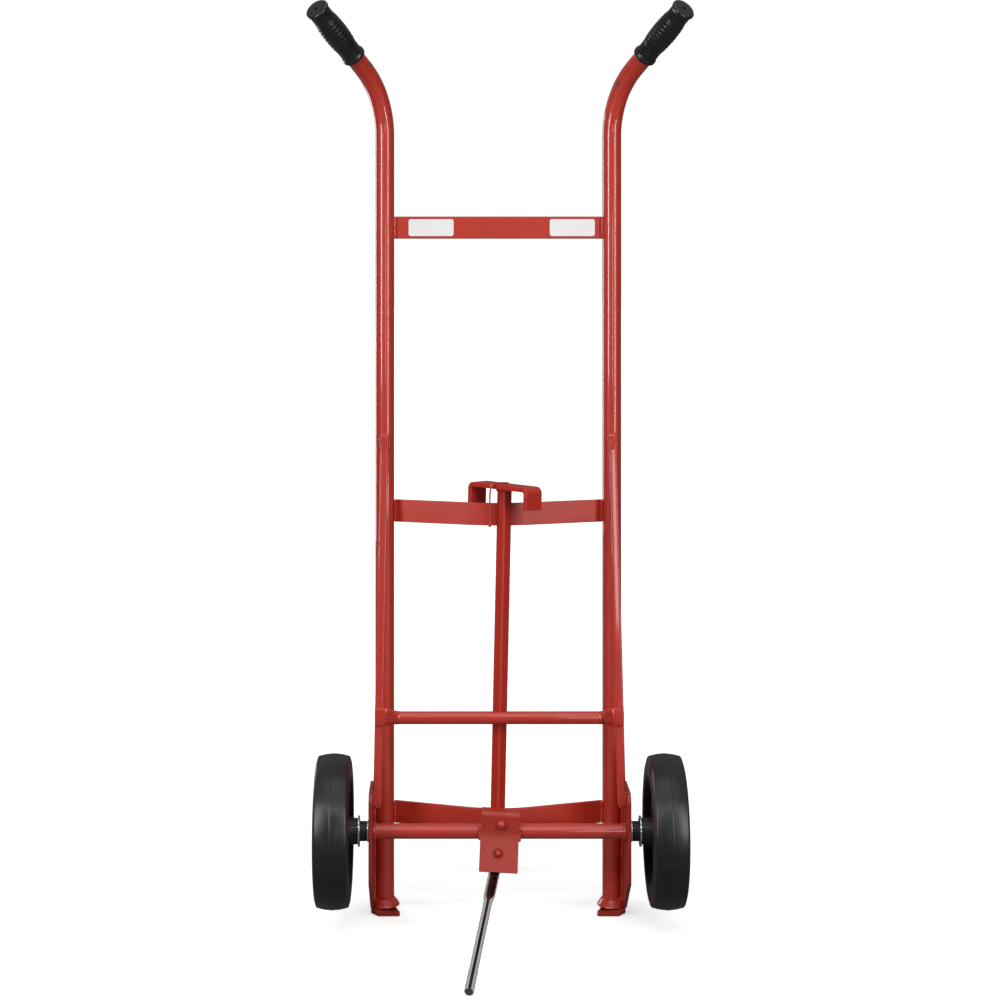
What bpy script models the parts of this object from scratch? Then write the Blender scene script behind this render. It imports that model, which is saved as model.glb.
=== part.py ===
"""Drum hand truck: two tube rails, a swivelling chime hook and a kick leg.

Metres, +Z up, +X to the right seen from behind, +Y towards the drum.
"""
import math

import bpy
import bmesh
from mathutils import Euler, Matrix, Vector

# ---- driving dimensions ----------------------------------------------------
RAIL_Y = 0.1638          # rail centre line, from the middle of the footprint
RAIL_X = 0.1943
RAIL_R = 0.0161
RAIL_FOOT_Z = 0.0143
BEND_Z = 1.3290          # where the handles leave the vertical
BEND_R = 0.1380
BEND_ANGLE = math.radians(53.5)
BEND_HEADING = math.radians(37.5)
BEND_STRAIGHT = 0.0310
GRIP_L = 0.1210

BAR_H = 0.0381           # flat stock of the crossbars
BAR_T = 0.0060
BAR_BEND_R = 0.1500      # the rounded middle of a V-bent crossbar
BAR_BEND = math.radians(20.5)
BAR_DEPTH = 0.0560
UPPER_Z = 1.1725
MIDDLE_Z = 0.6885
LOWER_Z = 0.1736

STRUT_W = 0.0140
STRUT_D = 0.0120
TIE_Z = 0.3520
TIE_LIFT = 0.0024        # the pipe runs this much above its pressed ends
TIE_R = 0.01065
TIE_BACK = 0.0985        # tie rod behind the rails

PLATE_T = 0.0063
PLATE_X = RAIL_X + RAIL_R + 0.0012
AXLE_Y = RAIL_Y - 0.0920
AXLE_Z = 0.1640
AXLE_R = 0.0080
TUBE_R = 0.0127
WHEEL_X = 0.2770
WHEEL_R = 0.1270
TYRE_W = 0.0590
HUB_IN = 0.0405
HUB_OUT = 0.0150

HOOK_X = -0.0030         # the foot of the centre bar
HOOK_Y = RAIL_Y - 0.0730
HOOK_LEAN = math.radians(1.23)
HOOK_TURN = math.radians(45.0)
HOOK_L = 0.1360
HOOK_W = 0.0380
HOOK_T = 0.0079
HOOK_TOP = 0.7410
HOOK_DROP = 0.0380
CENTRE_BAR = 0.0190

BRACKET_W = 0.0640
BRACKET_Y = RAIL_Y - 0.1051
BRACKET_T = 0.0060
BRACKET_TOP = 0.2020
BRACKET_BEND = 0.1600
BRACKET_TILT = math.radians(25.0)
BRACKET_LEAN = math.radians(3.0)
LEG_X = -0.0060
LEG_Y = RAIL_Y - 0.1020
LEG_Z = 0.1120
LEG_TIP_Y = RAIL_Y - 0.4180
LEG_TIP_X = -0.0540
LEG_ROD = 0.0070
LEG_SLEEVE = 0.0077
LEG_SLEEVE_L = 0.0500
GAP = 0.0003

RED = (0.46, 0.045, 0.022, 1.0)
BLACK = (0.02, 0.02, 0.021, 1.0)
ZINC = (0.62, 0.63, 0.62, 1.0)
WHITE = (0.82, 0.82, 0.80, 1.0)


def clear_scene():
    for obj in list(bpy.data.objects):
        bpy.data.objects.remove(obj, do_unlink=True)


def new_collection(name):
    collection = bpy.data.collections.new(name)
    bpy.context.scene.collection.children.link(collection)
    return collection


def give_material(obj, color, metallic, roughness):
    material = bpy.data.materials.new(obj.name)
    material.use_nodes = True
    shader = material.node_tree.nodes["Principled BSDF"]
    shader.inputs["Base Color"].default_value = color
    shader.inputs["Metallic"].default_value = metallic
    shader.inputs["Roughness"].default_value = roughness
    obj.data.materials.append(material)


def painted(obj):
    give_material(obj, RED, 0.0, 0.35)


def plated(obj):
    give_material(obj, ZINC, 1.0, 0.25)


def rubbery(obj):
    give_material(obj, BLACK, 0.0, 0.6)


def place(obj, collection, location=(0, 0, 0), rotation=(0, 0, 0)):
    obj.location = location
    obj.rotation_euler = rotation
    collection.objects.link(obj)
    return obj


def lean(obj, angle, pivot):
    """Tip a placed object sideways about the Y axis through a point."""
    turn = Matrix.Rotation(angle, 4, "Y")
    obj.matrix_basis = Matrix.Translation(pivot) @ turn @ Matrix.Translation(-pivot) @ obj.matrix_basis
    return obj


def mesh_object(name, bm):
    bmesh.ops.remove_doubles(bm, verts=bm.verts, dist=1e-6)
    bmesh.ops.recalc_face_normals(bm, faces=bm.faces)
    mesh = bpy.data.meshes.new(name)
    bm.to_mesh(mesh)
    bm.free()
    return bpy.data.objects.new(name, mesh)


def tube(name, points, radius, sides=6):
    """A round bar along a line of points."""
    data = bpy.data.curves.new(name, "CURVE")
    data.dimensions = "3D"
    data.resolution_u = 1
    data.render_resolution_u = 0
    data.bevel_depth = radius
    data.bevel_resolution = sides
    data.use_fill_caps = True
    spline = data.splines.new("POLY")
    spline.points.add(len(points) - 1)
    for point, position in zip(spline.points, points):
        point.co = (*position, 1.0)
    return bpy.data.objects.new(name, data)


def flat(name, outlines, thickness):
    """A flat plate; the outlines after the first are holes."""
    data = bpy.data.curves.new(name, "CURVE")
    data.dimensions = "2D"
    data.fill_mode = "BOTH"
    data.resolution_u = 1
    data.render_resolution_u = 0
    data.extrude = thickness / 2
    for outline in outlines:
        spline = data.splines.new("POLY")
        spline.points.add(len(outline) - 1)
        for point, (x, y) in zip(spline.points, outline):
            point.co = (x, y, 0.0, 1.0)
        spline.use_cyclic_u = True
    return bpy.data.objects.new(name, data)


def circle(x, y, radius, sides=32):
    step = math.tau / sides
    return [(x + radius * math.cos(i * step), y + radius * math.sin(i * step)) for i in range(sides)]


def turned(name, profile, steps=32):
    """A closed ring profile (radius, height) spun about Z."""
    bm = bmesh.new()
    verts = [bm.verts.new((radius, 0.0, height)) for radius, height in profile]
    for start, end in zip(verts, verts[1:] + verts[:1]):
        bm.edges.new((start, end))
    mesh = bpy.data.meshes.new(name)
    bm.to_mesh(mesh)
    bm.free()
    obj = bpy.data.objects.new(name, mesh)
    screw = obj.modifiers.new("Screw", "SCREW")
    screw.angle = math.tau
    screw.steps = steps
    screw.render_steps = steps
    screw.use_merge_vertices = True
    screw.merge_threshold = 0.00001
    return obj


def ring(name, inner, outer, length, steps=32):
    """A washer or sleeve, centred on its own origin, along Z."""
    half = length / 2
    return turned(name, [(outer, half), (outer, -half), (inner, -half), (inner, half)], steps)


# ---- rails and grips -------------------------------------------------------
def handle_direction(side, angle):
    out = side * math.sin(BEND_HEADING) * math.sin(angle)
    back = -math.cos(BEND_HEADING) * math.sin(angle)
    return Vector((out, back, math.cos(angle)))


def rail_points(side):
    points = [Vector((side * RAIL_X, RAIL_Y, RAIL_FOOT_Z))]
    sway = Vector((side * math.sin(BEND_HEADING), -math.cos(BEND_HEADING), 0.0))
    start = Vector((side * RAIL_X, RAIL_Y, BEND_Z))
    steps = 12
    for step in range(steps + 1):
        angle = BEND_ANGLE * step / steps
        rise = Vector((0.0, 0.0, BEND_R * math.sin(angle)))
        points.append(start + sway * BEND_R * (1.0 - math.cos(angle)) + rise)
    along = handle_direction(side, BEND_ANGLE)
    points.append(points[-1] + along * (BEND_STRAIGHT + GRIP_L - 0.0045))
    return points


def grip_profile():
    outer = [(0.0030, GRIP_L), (0.0185, GRIP_L), (0.0203, GRIP_L - 0.0020), (0.0203, GRIP_L - 0.0055)]
    outer += [(0.0184, GRIP_L - 0.0080), (0.0182, 0.0980)]
    for index, height in enumerate((0.086, 0.078, 0.070, 0.062, 0.054, 0.046, 0.038)):
        outer.append((0.0216 if index % 2 else 0.0207, height))
    outer += [(0.0186, 0.0240), (0.0186, 0.0090), (0.0206, 0.0060), (0.0206, 0.0000)]
    inner = [(RAIL_R + 0.0004, 0.0000), (RAIL_R + 0.0004, GRIP_L - 0.0040), (0.0030, GRIP_L - 0.0040)]
    return outer + inner


def build_rails(collection):
    for side, word in ((-1, "left"), (1, "right")):
        points = rail_points(side)
        rail = place(tube(word + "_rail", points, RAIL_R), collection)
        painted(rail)
        along = handle_direction(side, BEND_ANGLE)
        foot = points[-2] + along * BEND_STRAIGHT
        turn = along.to_track_quat("Z", "Y").to_euler()
        grip = place(turned(word + "_grip", grip_profile()), collection, foot, turn)
        rubbery(grip)


# ---- crossbars -------------------------------------------------------------
def bent_outline(half):
    """Plan of a flat bar bent to a shallow V, with its ends on the X axis."""
    end_y = BAR_BEND_R * (1.0 - math.cos(BAR_BEND)) - BAR_DEPTH
    end_y += (half - BAR_BEND_R * math.sin(BAR_BEND)) * math.tan(BAR_BEND)
    outline = []
    for sign in (1, -1):
        radius = BAR_BEND_R - sign * BAR_T / 2
        edge_y = end_y + sign * BAR_T / 2 / math.cos(BAR_BEND)
        outline.append((-sign * half, edge_y))
        for step in range(9):
            angle = sign * BAR_BEND * (step / 4 - 1)
            outline.append((radius * math.sin(angle), BAR_BEND_R - BAR_DEPTH - radius * math.cos(angle)))
        outline.append((sign * half, edge_y))
    return outline


def build_crossbars(collection):
    half = RAIL_X - RAIL_R - GAP
    flat_bar = [(-half, -BAR_T / 2), (half, -BAR_T / 2), (half, BAR_T / 2), (-half, BAR_T / 2)]
    upper = place(flat("upper_crossbar", [flat_bar], BAR_H), collection, (0, RAIL_Y, UPPER_Z))
    painted(upper)
    for word, height in (("middle", MIDDLE_Z), ("lower", LOWER_Z)):
        outline = bent_outline(half - 0.0004)
        bar = place(flat(word + "_crossbar", [outline], BAR_H), collection, (0, RAIL_Y, height))
        painted(bar)


def rounded_outline(width, height, radius, steps=5):
    outline = []
    corners = ((1, 1, 0), (-1, 1, 1), (-1, -1, 2), (1, -1, 3))
    for sx, sy, quarter in corners:
        for step in range(steps):
            angle = math.pi / 2 * (quarter + step / (steps - 1))
            x = sx * (width / 2 - radius) + radius * math.cos(angle)
            outline.append((x, sy * (height / 2 - radius) + radius * math.sin(angle)))
    return outline


def build_labels(collection):
    for spot, word in ((-0.1150, "left"), (0.1265, "right")):
        label = flat(word + "_label", [rounded_outline(0.0770, 0.0290, 0.0040)], 0.0006)
        behind = RAIL_Y - BAR_T / 2 - 0.0003 - GAP
        place(label, collection, (spot, behind, UPPER_Z), (math.pi / 2, 0, 0))
        give_material(label, WHITE, 0.0, 0.4)


# ---- struts and tie rod ----------------------------------------------------
def strut_path(side):
    behind = RAIL_Y - RAIL_R - GAP - STRUT_D / 2
    return [
        Vector((side * RAIL_X, behind, 0.8200)),
        Vector((side * RAIL_X, behind, 0.7900)),
        Vector((side * (PLATE_X - STRUT_W / 2 - GAP - 0.0002), RAIL_Y - 0.0880, 0.2060)),
    ]


def build_struts(collection):
    for side, word in ((-1, "left"), (1, "right")):
        bm = bmesh.new()
        rings = []
        for point in strut_path(side):
            corners = ((-1, -1), (1, -1), (1, 1), (-1, 1))
            shift = [Vector((x * STRUT_W / 2, y * STRUT_D / 2, 0.0)) for x, y in corners]
            rings.append([bm.verts.new(point + offset) for offset in shift])
        for lower, upper in zip(rings, rings[1:]):
            for index in range(4):
                nxt = (index + 1) % 4
                bm.faces.new((lower[index], lower[nxt], upper[nxt], upper[index]))
        bm.faces.new(rings[0])
        bm.faces.new(rings[-1])
        strut = place(mesh_object(word + "_strut", bm), collection)
        bevel = strut.modifiers.new("Bevel", "BEVEL")
        bevel.width = 0.0015
        bevel.segments = 1
        painted(strut)


def build_tie_rod(collection):
    """Pipe with both ends pressed flat and set forward onto the struts."""
    slope = (0.7900 - TIE_Z) / (0.7900 - 0.2060)
    strut_back = RAIL_Y - RAIL_R - GAP - STRUT_D / 2
    strut_y = strut_back + slope * (RAIL_Y - 0.0880 - strut_back)
    lap_y = strut_y - STRUT_D / 2 - 0.0026 - 0.0012
    end_x = 0.2085
    pipe_z = TIE_Z + TIE_LIFT
    stations = [(-end_x, lap_y, TIE_Z, 0.0145, 0.0022), (-0.1890, lap_y, TIE_Z, 0.0145, 0.0022)]
    stations.append((-0.1700, RAIL_Y - TIE_BACK, pipe_z, TIE_R, TIE_R))
    stations.append((-0.0800, RAIL_Y - TIE_BACK, pipe_z, TIE_R, TIE_R))
    stations += [(-x, y, z, tall, deep) for x, y, z, tall, deep in reversed(stations)]
    bm = bmesh.new()
    rings = []
    for x, y, z, tall, deep in stations:
        section = []
        for index in range(20):
            angle = math.tau * index / 20
            section.append(bm.verts.new((x, y + deep * math.cos(angle), z + tall * math.sin(angle))))
        rings.append(section)
    for left, right in zip(rings, rings[1:]):
        for index in range(20):
            nxt = (index + 1) % 20
            bm.faces.new((left[index], left[nxt], right[nxt], right[index]))
    bm.faces.new(rings[0])
    bm.faces.new(rings[-1])
    painted(place(mesh_object("tie_rod", bm), collection))


# ---- side plates, toes and axle --------------------------------------------
def build_side_plates(collection):
    back = -0.1180
    outline = [(back, 0.0820), (back, 0.2190), (-0.1060, 0.2310), (-0.0200, 0.2310)]
    outline += [(0.0160, 0.2140), (0.0160, 0.0146), (-0.0240, 0.0146)]
    outline = [(y + RAIL_Y, z) for y, z in outline]
    hole = circle(AXLE_Y, AXLE_Z, AXLE_R + 0.0003)
    for side, word in ((-1, "left"), (1, "right")):
        plate = flat(word + "_side_plate", [outline, hole], PLATE_T)
        spot = (side * (PLATE_X + PLATE_T / 2), 0, 0)
        place(plate, collection, spot, (math.pi / 2, 0, math.pi / 2))
        painted(plate)


def build_toes(collection):
    plan = [(0.2160, -0.0230), (0.2180, 0.0000), (0.2120, 0.0500), (0.2040, 0.0880), (0.1960, 0.0930)]
    plan += [(0.1880, 0.0880), (0.1850, 0.0300), (0.1830, 0.0060), (0.1680, -0.0120), (0.1680, -0.0230)]
    for side, word in ((-1, "left"), (1, "right")):
        outline = [(side * x, y) for x, y in plan]
        toe = place(flat(word + "_toe", [outline], 0.0140), collection, (0, RAIL_Y, 0.0070))
        painted(toe)


def build_axle(collection):
    across = (0, math.pi / 2, 0)
    tube_length = 2 * (PLATE_X - GAP)
    axle_tube = ring("axle_tube", AXLE_R + 0.0012, TUBE_R, tube_length)
    painted(place(axle_tube, collection, (0, AXLE_Y, AXLE_Z), across))
    half = WHEEL_X + 0.0178
    shaft = tube("axle_shaft", [(-half, AXLE_Y, AXLE_Z), (half, AXLE_Y, AXLE_Z)], AXLE_R, 14)
    plated(place(shaft, collection))
    start = PLATE_X + PLATE_T
    spacer = (start + 0.0034, WHEEL_X - HUB_IN - 0.0037)
    stack = (
        ("plate_washer", 0.0175, start + 0.0017, 0.0025, ZINC),
        ("axle_spacer", 0.0165, sum(spacer) / 2, spacer[1] - spacer[0], BLACK),
        ("inner_washer", 0.0255, WHEEL_X - HUB_IN - 0.0019, 0.0030, ZINC),
        ("outer_washer", 0.0190, WHEEL_X + HUB_OUT + 0.0015, 0.0020, ZINC),
    )
    for side, word in ((-1, "left"), (1, "right")):
        for name, radius, distance, width, color in stack:
            part = ring(word + "_" + name, AXLE_R + 0.0004, radius, width)
            place(part, collection, (side * distance, AXLE_Y, AXLE_Z), across)
            give_material(part, color, 1.0 if color == ZINC else 0.0, 0.4)
        cap = [(0.0001, 0.0060), (0.0070, 0.0052), (0.0115, 0.0020), (0.0125, -0.0030), (0.0001, -0.0030)]
        part = turned(word + "_axle_cap", cap, 24)
        spot = (side * (WHEEL_X + 0.0211), AXLE_Y, AXLE_Z)
        place(part, collection, spot, (0, side * math.pi / 2, 0))
        plated(part)


# ---- wheels ----------------------------------------------------------------
def tyre_profile():
    half = TYRE_W / 2
    crown = [(WHEEL_R - 0.0045, 0.0265), (WHEEL_R - 0.0021, 0.0180), (WHEEL_R - 0.0006, 0.0095), (WHEEL_R, 0.0010)]
    face = [(0.1000, half), (0.1165, half)] + crown
    rim = [(0.0790, -0.0180), (0.0790, 0.0180)]
    back = [(radius, -height) for radius, height in reversed(face)]
    return face + back + [(0.0860, 0.0040 - half)] + rim + [(0.0860, half - 0.0040)]


def wheel_centre_profile():
    bore = 0.0110
    out = [(bore, HUB_OUT), (0.0200, HUB_OUT), (0.0220, 0.0060), (0.0600, 0.0030), (0.0700, 0.0160)]
    out += [(0.0786, 0.0175), (0.0786, -0.0175), (0.0700, -0.0160), (0.0600, -0.0030)]
    return out + [(0.0320, -0.0055), (0.0235, -0.0140), (0.0215, -HUB_IN), (bore, -HUB_IN)]


def build_wheels(collection):
    for side, word in ((-1, "left"), (1, "right")):
        spot = (side * WHEEL_X, AXLE_Y, AXLE_Z)
        turn = (0, side * math.pi / 2, 0)
        rubbery(place(turned(word + "_tyre", tyre_profile(), 48), collection, spot, turn))
        rubbery(place(turned(word + "_wheel", wheel_centre_profile(), 32), collection, spot, turn))
        bush = [(0.0107, HUB_OUT), (0.0107, -HUB_IN), (0.00812, -HUB_IN), (0.00812, HUB_OUT)]
        plated(place(turned(word + "_wheel_bush", bush, 32), collection, spot, turn))


# ---- centre bar, chime hook and its wire -----------------------------------
def build_hook(collection):
    """Everything on the centre bar's axis, which leans a little to the right."""
    axis = Vector((HOOK_X, HOOK_Y, 0))
    foot = AXLE_Z + TUBE_R + GAP
    under = HOOK_TOP - HOOK_T - GAP
    bar_bottom = foot + 0.0120
    outline = rounded_outline(CENTRE_BAR, CENTRE_BAR, 0.0030, 4)
    bar = flat("centre_bar", [outline], under - bar_bottom)
    place(bar, collection, axis + Vector((0, 0, (under + bar_bottom) / 2)), (0, 0, HOOK_TURN))
    shoe = turned("bar_shoe", [(0.0001, 0.0058), (0.0085, 0.0058), (0.0085, -0.0058), (0.0001, -0.0058)], 24)
    place(shoe, collection, axis + Vector((0, 0, foot + 0.0059)))

    outer = HOOK_L / 2
    path = [(-outer, -HOOK_DROP), (-outer, -0.0090), (-outer + 0.0026, -0.0026), (-outer + 0.0090, 0.0)]
    path += [(-x, z) for x, z in reversed(path)]
    inner = outer - HOOK_T
    back = [(inner, -HOOK_DROP), (inner, -HOOK_T - 0.0020), (inner - 0.0020, -HOOK_T)]
    back += [(-x, z) for x, z in reversed(back)]
    hook = flat("chime_hook", [path + back], HOOK_W)
    place(hook, collection, axis + Vector((0, 0, HOOK_TOP)), (math.pi / 2, 0, HOOK_TURN - math.pi / 2))

    rise = 0.0016
    line = [(0.0060, 0.0060, rise), (-0.0040, -0.0040, rise + 0.0012), (-0.0205, -0.0155, rise + 0.0004)]
    line += [(-0.0240, -0.0175, -0.0044), (-0.0250, -0.0175, -0.0300), (-0.0236, -0.0175, -0.0590)]
    line.append((-0.0240, -0.0175, -0.0710))
    wire = place(tube("hanger_wire", line, 0.0014, 2), collection, axis + Vector((0, 0, HOOK_TOP)))

    pivot = Vector((HOOK_X, HOOK_Y, foot))
    for obj in (bar, shoe, hook, wire):
        lean(obj, HOOK_LEAN, pivot)
    for obj in (bar, hook, wire):
        painted(obj)
    rubbery(shoe)


# ---- kick-leg bracket and kick leg -----------------------------------------
def cut(target, cutter, collection):
    collection.objects.link(cutter)
    cutter.display_type = "WIRE"
    cutter.hide_render = True
    modifier = target.modifiers.new(cutter.name, "BOOLEAN")
    modifier.operation = "DIFFERENCE"
    modifier.solver = "EXACT"
    modifier.object = cutter


def bracket_down():
    return Vector((0, -math.sin(BRACKET_TILT), -math.cos(BRACKET_TILT)))


def build_bracket(collection, cutters):
    low = bracket_down() * 0.0585
    back_y = BRACKET_Y - BRACKET_T
    front = [(BRACKET_Y + 0.0160, BRACKET_TOP - 0.0001), (BRACKET_Y, BRACKET_TOP - 0.0062)]
    front += [(BRACKET_Y, BRACKET_BEND), (BRACKET_Y + low.y, BRACKET_BEND + low.z)]
    rear = [(BRACKET_Y + 0.0160, BRACKET_TOP + 0.0059), (back_y, BRACKET_TOP)]
    rear += [(back_y, BRACKET_BEND), (back_y + low.y, BRACKET_BEND + low.z)]
    bm = bmesh.new()
    outline = front + rear[::-1]
    left = [bm.verts.new((-BRACKET_W / 2, y, z)) for y, z in outline]
    right = [bm.verts.new((BRACKET_W / 2, y, z)) for y, z in outline]
    bm.faces.new(left)
    bm.faces.new(right[::-1])
    for index in range(len(outline)):
        nxt = (index + 1) % len(outline)
        bm.faces.new((left[index], right[index], right[nxt], left[nxt]))
    bracket = place(mesh_object("stand_bracket", bm), collection)

    hole = Vector((-0.0015, BRACKET_Y - BRACKET_T / 2, BRACKET_BEND)) + bracket_down() * 0.0285
    normal = Euler((math.pi / 2 - BRACKET_TILT, 0, 0))
    drill = bmesh.new()
    bmesh.ops.create_cone(drill, cap_ends=True, segments=24, radius1=0.0086, radius2=0.0086, depth=0.03)
    cutter = mesh_object("lower_hole_cutter", drill)
    cutter.location = hole
    cutter.rotation_euler = normal
    cut(bracket, cutter, cutters)

    stud = [(0.0001, 0.0058), (0.0034, 0.0050), (0.0058, 0.0028), (0.0066, -0.0036)]
    stud += [(0.0110, -0.0036), (0.0110, -0.0062), (0.0001, -0.0062)]
    pin = place(turned("bracket_pin", stud, 24), collection, hole, normal)
    head = [(0.0001, 0.0048), (0.0040, 0.0042), (0.0072, 0.0022), (0.0080, 0.0002), (0.0001, 0.0002)]
    bolt = turned("bracket_bolt", head, 24)
    place(bolt, collection, (0.0020, back_y - 0.0002, 0.1790), (math.pi / 2, 0, 0))
    for obj in (bracket, cutter, pin, bolt):
        lean(obj, BRACKET_LEAN, Vector((0, 0, AXLE_Z)))
    for obj in (bracket, pin, bolt):
        painted(obj)


def build_leg(collection):
    pin_r = 0.0040
    reach = 0.0190
    ear_x = 0.0190
    wall = BRACKET_Y - LEG_Y - (BRACKET_BEND - LEG_Z) * math.tan(BRACKET_TILT) + 0.0027
    points = [(-ear_x, wall, 0.0), (-ear_x, -0.0040, 0.0), (-ear_x + 0.0040, 0.0, 0.0)]
    points += [(-x, y, z) for x, y, z in reversed(points)]
    pivot = Vector((LEG_X, LEG_Y, LEG_Z))
    painted(place(tube("leg_staple", points, pin_r, 6), collection, pivot))

    tip = Vector((LEG_TIP_X, LEG_TIP_Y, LEG_SLEEVE))
    along = (tip - pivot).normalized()
    length = (tip - pivot).length
    side = Vector((1, 0, 0))
    side = (side - along * side.dot(along)).normalized()
    normal = side.cross(along)
    stations = [(0.0084, 0.0100, 0.0027), (0.0900, 0.0100, 0.0027)]
    stations += [(0.1060, LEG_ROD, LEG_ROD), (length - LEG_SLEEVE_L - 0.0005, LEG_ROD, LEG_ROD)]
    stations += [(length - LEG_SLEEVE_L, LEG_SLEEVE, LEG_SLEEVE), (length, LEG_SLEEVE, LEG_SLEEVE)]
    bm = bmesh.new()
    rings = []
    for distance, wide, thick in stations:
        centre = along * distance
        section = []
        for index in range(16):
            angle = math.tau * (index + 0.5) / 16
            across = Vector((1, 0, 0)) if distance < 0.02 else side
            offset = across * wide * math.cos(angle) + normal * thick * math.sin(angle)
            section.append(bm.verts.new(centre + offset))
        rings.append(section)
    for upper, lower in zip(rings, rings[1:]):
        for index in range(16):
            nxt = (index + 1) % 16
            bm.faces.new((upper[index], upper[nxt], lower[nxt], lower[index]))
    bm.faces.new(rings[0])
    bm.faces.new(rings[-1])
    leg = place(mesh_object("kick_leg", bm), collection, pivot)
    plated(leg)
    eye = ring("leg_eye", pin_r + 0.00010, 0.0080, 0.0200)
    place(eye, collection, pivot, (0, math.pi / 2, 0))
    plated(eye)


def build():
    clear_scene()
    truck = new_collection("drum_hand_truck")
    cutters = new_collection("cutters")
    build_rails(truck)
    build_crossbars(truck)
    build_labels(truck)
    build_struts(truck)
    build_tie_rod(truck)
    build_side_plates(truck)
    build_toes(truck)
    build_axle(truck)
    build_wheels(truck)
    build_hook(truck)
    build_bracket(truck, cutters)
    build_leg(truck)


build()
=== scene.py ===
# %% [markdown]
# # A drum hand truck
# A drum truck is a hand truck for steel drums. It is welded from tube, pipe and flat bar, sprayed red,
# and stands here on its two toes and its kick leg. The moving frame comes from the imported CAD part, and
# every piece below is a finer version of one of its solids, riding on the same body.

# %% Load the frame
import math
import random

import bmesh
import bpy
from mathutils import Matrix, Vector


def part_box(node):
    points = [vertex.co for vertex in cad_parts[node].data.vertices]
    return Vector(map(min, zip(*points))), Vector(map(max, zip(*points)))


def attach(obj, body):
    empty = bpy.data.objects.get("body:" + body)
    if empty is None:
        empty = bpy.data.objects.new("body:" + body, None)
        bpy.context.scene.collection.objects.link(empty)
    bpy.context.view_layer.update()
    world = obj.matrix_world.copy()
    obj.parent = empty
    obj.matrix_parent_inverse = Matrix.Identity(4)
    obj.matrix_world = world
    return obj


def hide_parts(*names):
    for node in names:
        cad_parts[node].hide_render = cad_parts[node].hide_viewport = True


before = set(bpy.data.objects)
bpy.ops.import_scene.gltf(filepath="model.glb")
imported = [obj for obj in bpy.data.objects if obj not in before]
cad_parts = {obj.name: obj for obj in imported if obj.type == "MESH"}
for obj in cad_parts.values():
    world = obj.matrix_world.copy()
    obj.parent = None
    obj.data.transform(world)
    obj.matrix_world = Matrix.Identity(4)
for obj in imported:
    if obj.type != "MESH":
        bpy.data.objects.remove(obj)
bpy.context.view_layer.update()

# %% [markdown]
# ## Measurements
# The solids say where everything is, so sizes are read from them. Only sizes that a box can't show,
# such as the radius of a bend, are written down.

# %% Read the main sizes
toe_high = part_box("right_toe")[1]
shaft_low, shaft_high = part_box("axle_shaft")
upper_low, upper_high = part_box("upper_crossbar")
axle_y = (shaft_low.y + shaft_high.y) / 2
axle_z = (shaft_low.z + shaft_high.z) / 2
rail_y = (upper_low.y + upper_high.y) / 2
RAIL_R = 0.0161
GAP = 0.0003
rail_x = upper_high.x + RAIL_R + GAP
tyre_low, tyre_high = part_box("right_tyre")
wheel_x = (tyre_low.x + tyre_high.x) / 2
wheel_r = (tyre_high.z - tyre_low.z) / 2
bar_low, bar_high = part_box("centre_bar")
hook_y = (bar_low.y + bar_high.y) / 2
SIDES = ((-1, "left"), (1, "right"))
BARS = ("upper", "middle", "lower")
plate_x = rail_x + RAIL_R + 0.0012
print("rails", round(rail_x, 4), "axle", round(axle_y, 4), round(axle_z, 4), "wheel", round(wheel_r, 4))

# %% [markdown]
# ## Shader groups
# Paint, rubber and plating all need the same two effects, so each is a node group: a fine skin, which is
# a height and a colour mottle, and chips, which are small sharp-edged spots where the finish is gone.
# A group puts out only values that change over the surface.


# %% Group helpers
def new_group(name, inputs, outputs):
    group = bpy.data.node_groups.new(name, "ShaderNodeTree")
    for label, kind, value in inputs:
        socket = group.interface.new_socket(name=label, in_out="INPUT", socket_type=kind)
        if value is not None:
            socket.default_value = value
    for label, kind in outputs:
        group.interface.new_socket(name=label, in_out="OUTPUT", socket_type=kind)
    start = group.nodes.new("NodeGroupInput")
    end = group.nodes.new("NodeGroupOutput")
    return group, start, end


def noise(tree, vector, scale, detail=3.0, rough=0.5):
    node = tree.nodes.new("ShaderNodeTexNoise")
    node.inputs["Detail"].default_value = detail
    node.inputs["Roughness"].default_value = rough
    tree.links.new(vector, node.inputs["Vector"])
    if isinstance(scale, (int, float)):
        node.inputs["Scale"].default_value = scale
    else:
        tree.links.new(scale, node.inputs["Scale"])
    return node.outputs["Fac"]


def remap(tree, value, low, high, to_low=0.0, to_high=1.0):
    node = tree.nodes.new("ShaderNodeMapRange")
    node.clamp = True
    tree.links.new(value, node.inputs["Value"])
    for label, number in (("From Min", low), ("From Max", high), ("To Min", to_low), ("To Max", to_high)):
        if isinstance(number, (int, float)):
            node.inputs[label].default_value = number
        else:
            tree.links.new(number, node.inputs[label])
    return node.outputs["Result"]


def combine(tree, operation, first, second):
    node = tree.nodes.new("ShaderNodeMath")
    node.operation = operation
    for socket, value in zip(node.inputs, (first, second)):
        if isinstance(value, (int, float)):
            socket.default_value = value
        else:
            tree.links.new(value, socket)
    return node.outputs[0]


def blend_colours(tree, factor, first, second):
    node = tree.nodes.new("ShaderNodeMix")
    node.data_type = "RGBA"
    tree.links.new(factor, node.inputs["Factor"])
    for label, value in (("A", first), ("B", second)):
        socket = [item for item in node.inputs if item.name == label and item.type == "RGBA"][0]
        if isinstance(value, tuple):
            socket.default_value = (*value, 1.0)
        else:
            tree.links.new(value, socket)
    return [item for item in node.outputs if item.type == "RGBA"][0]


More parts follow.
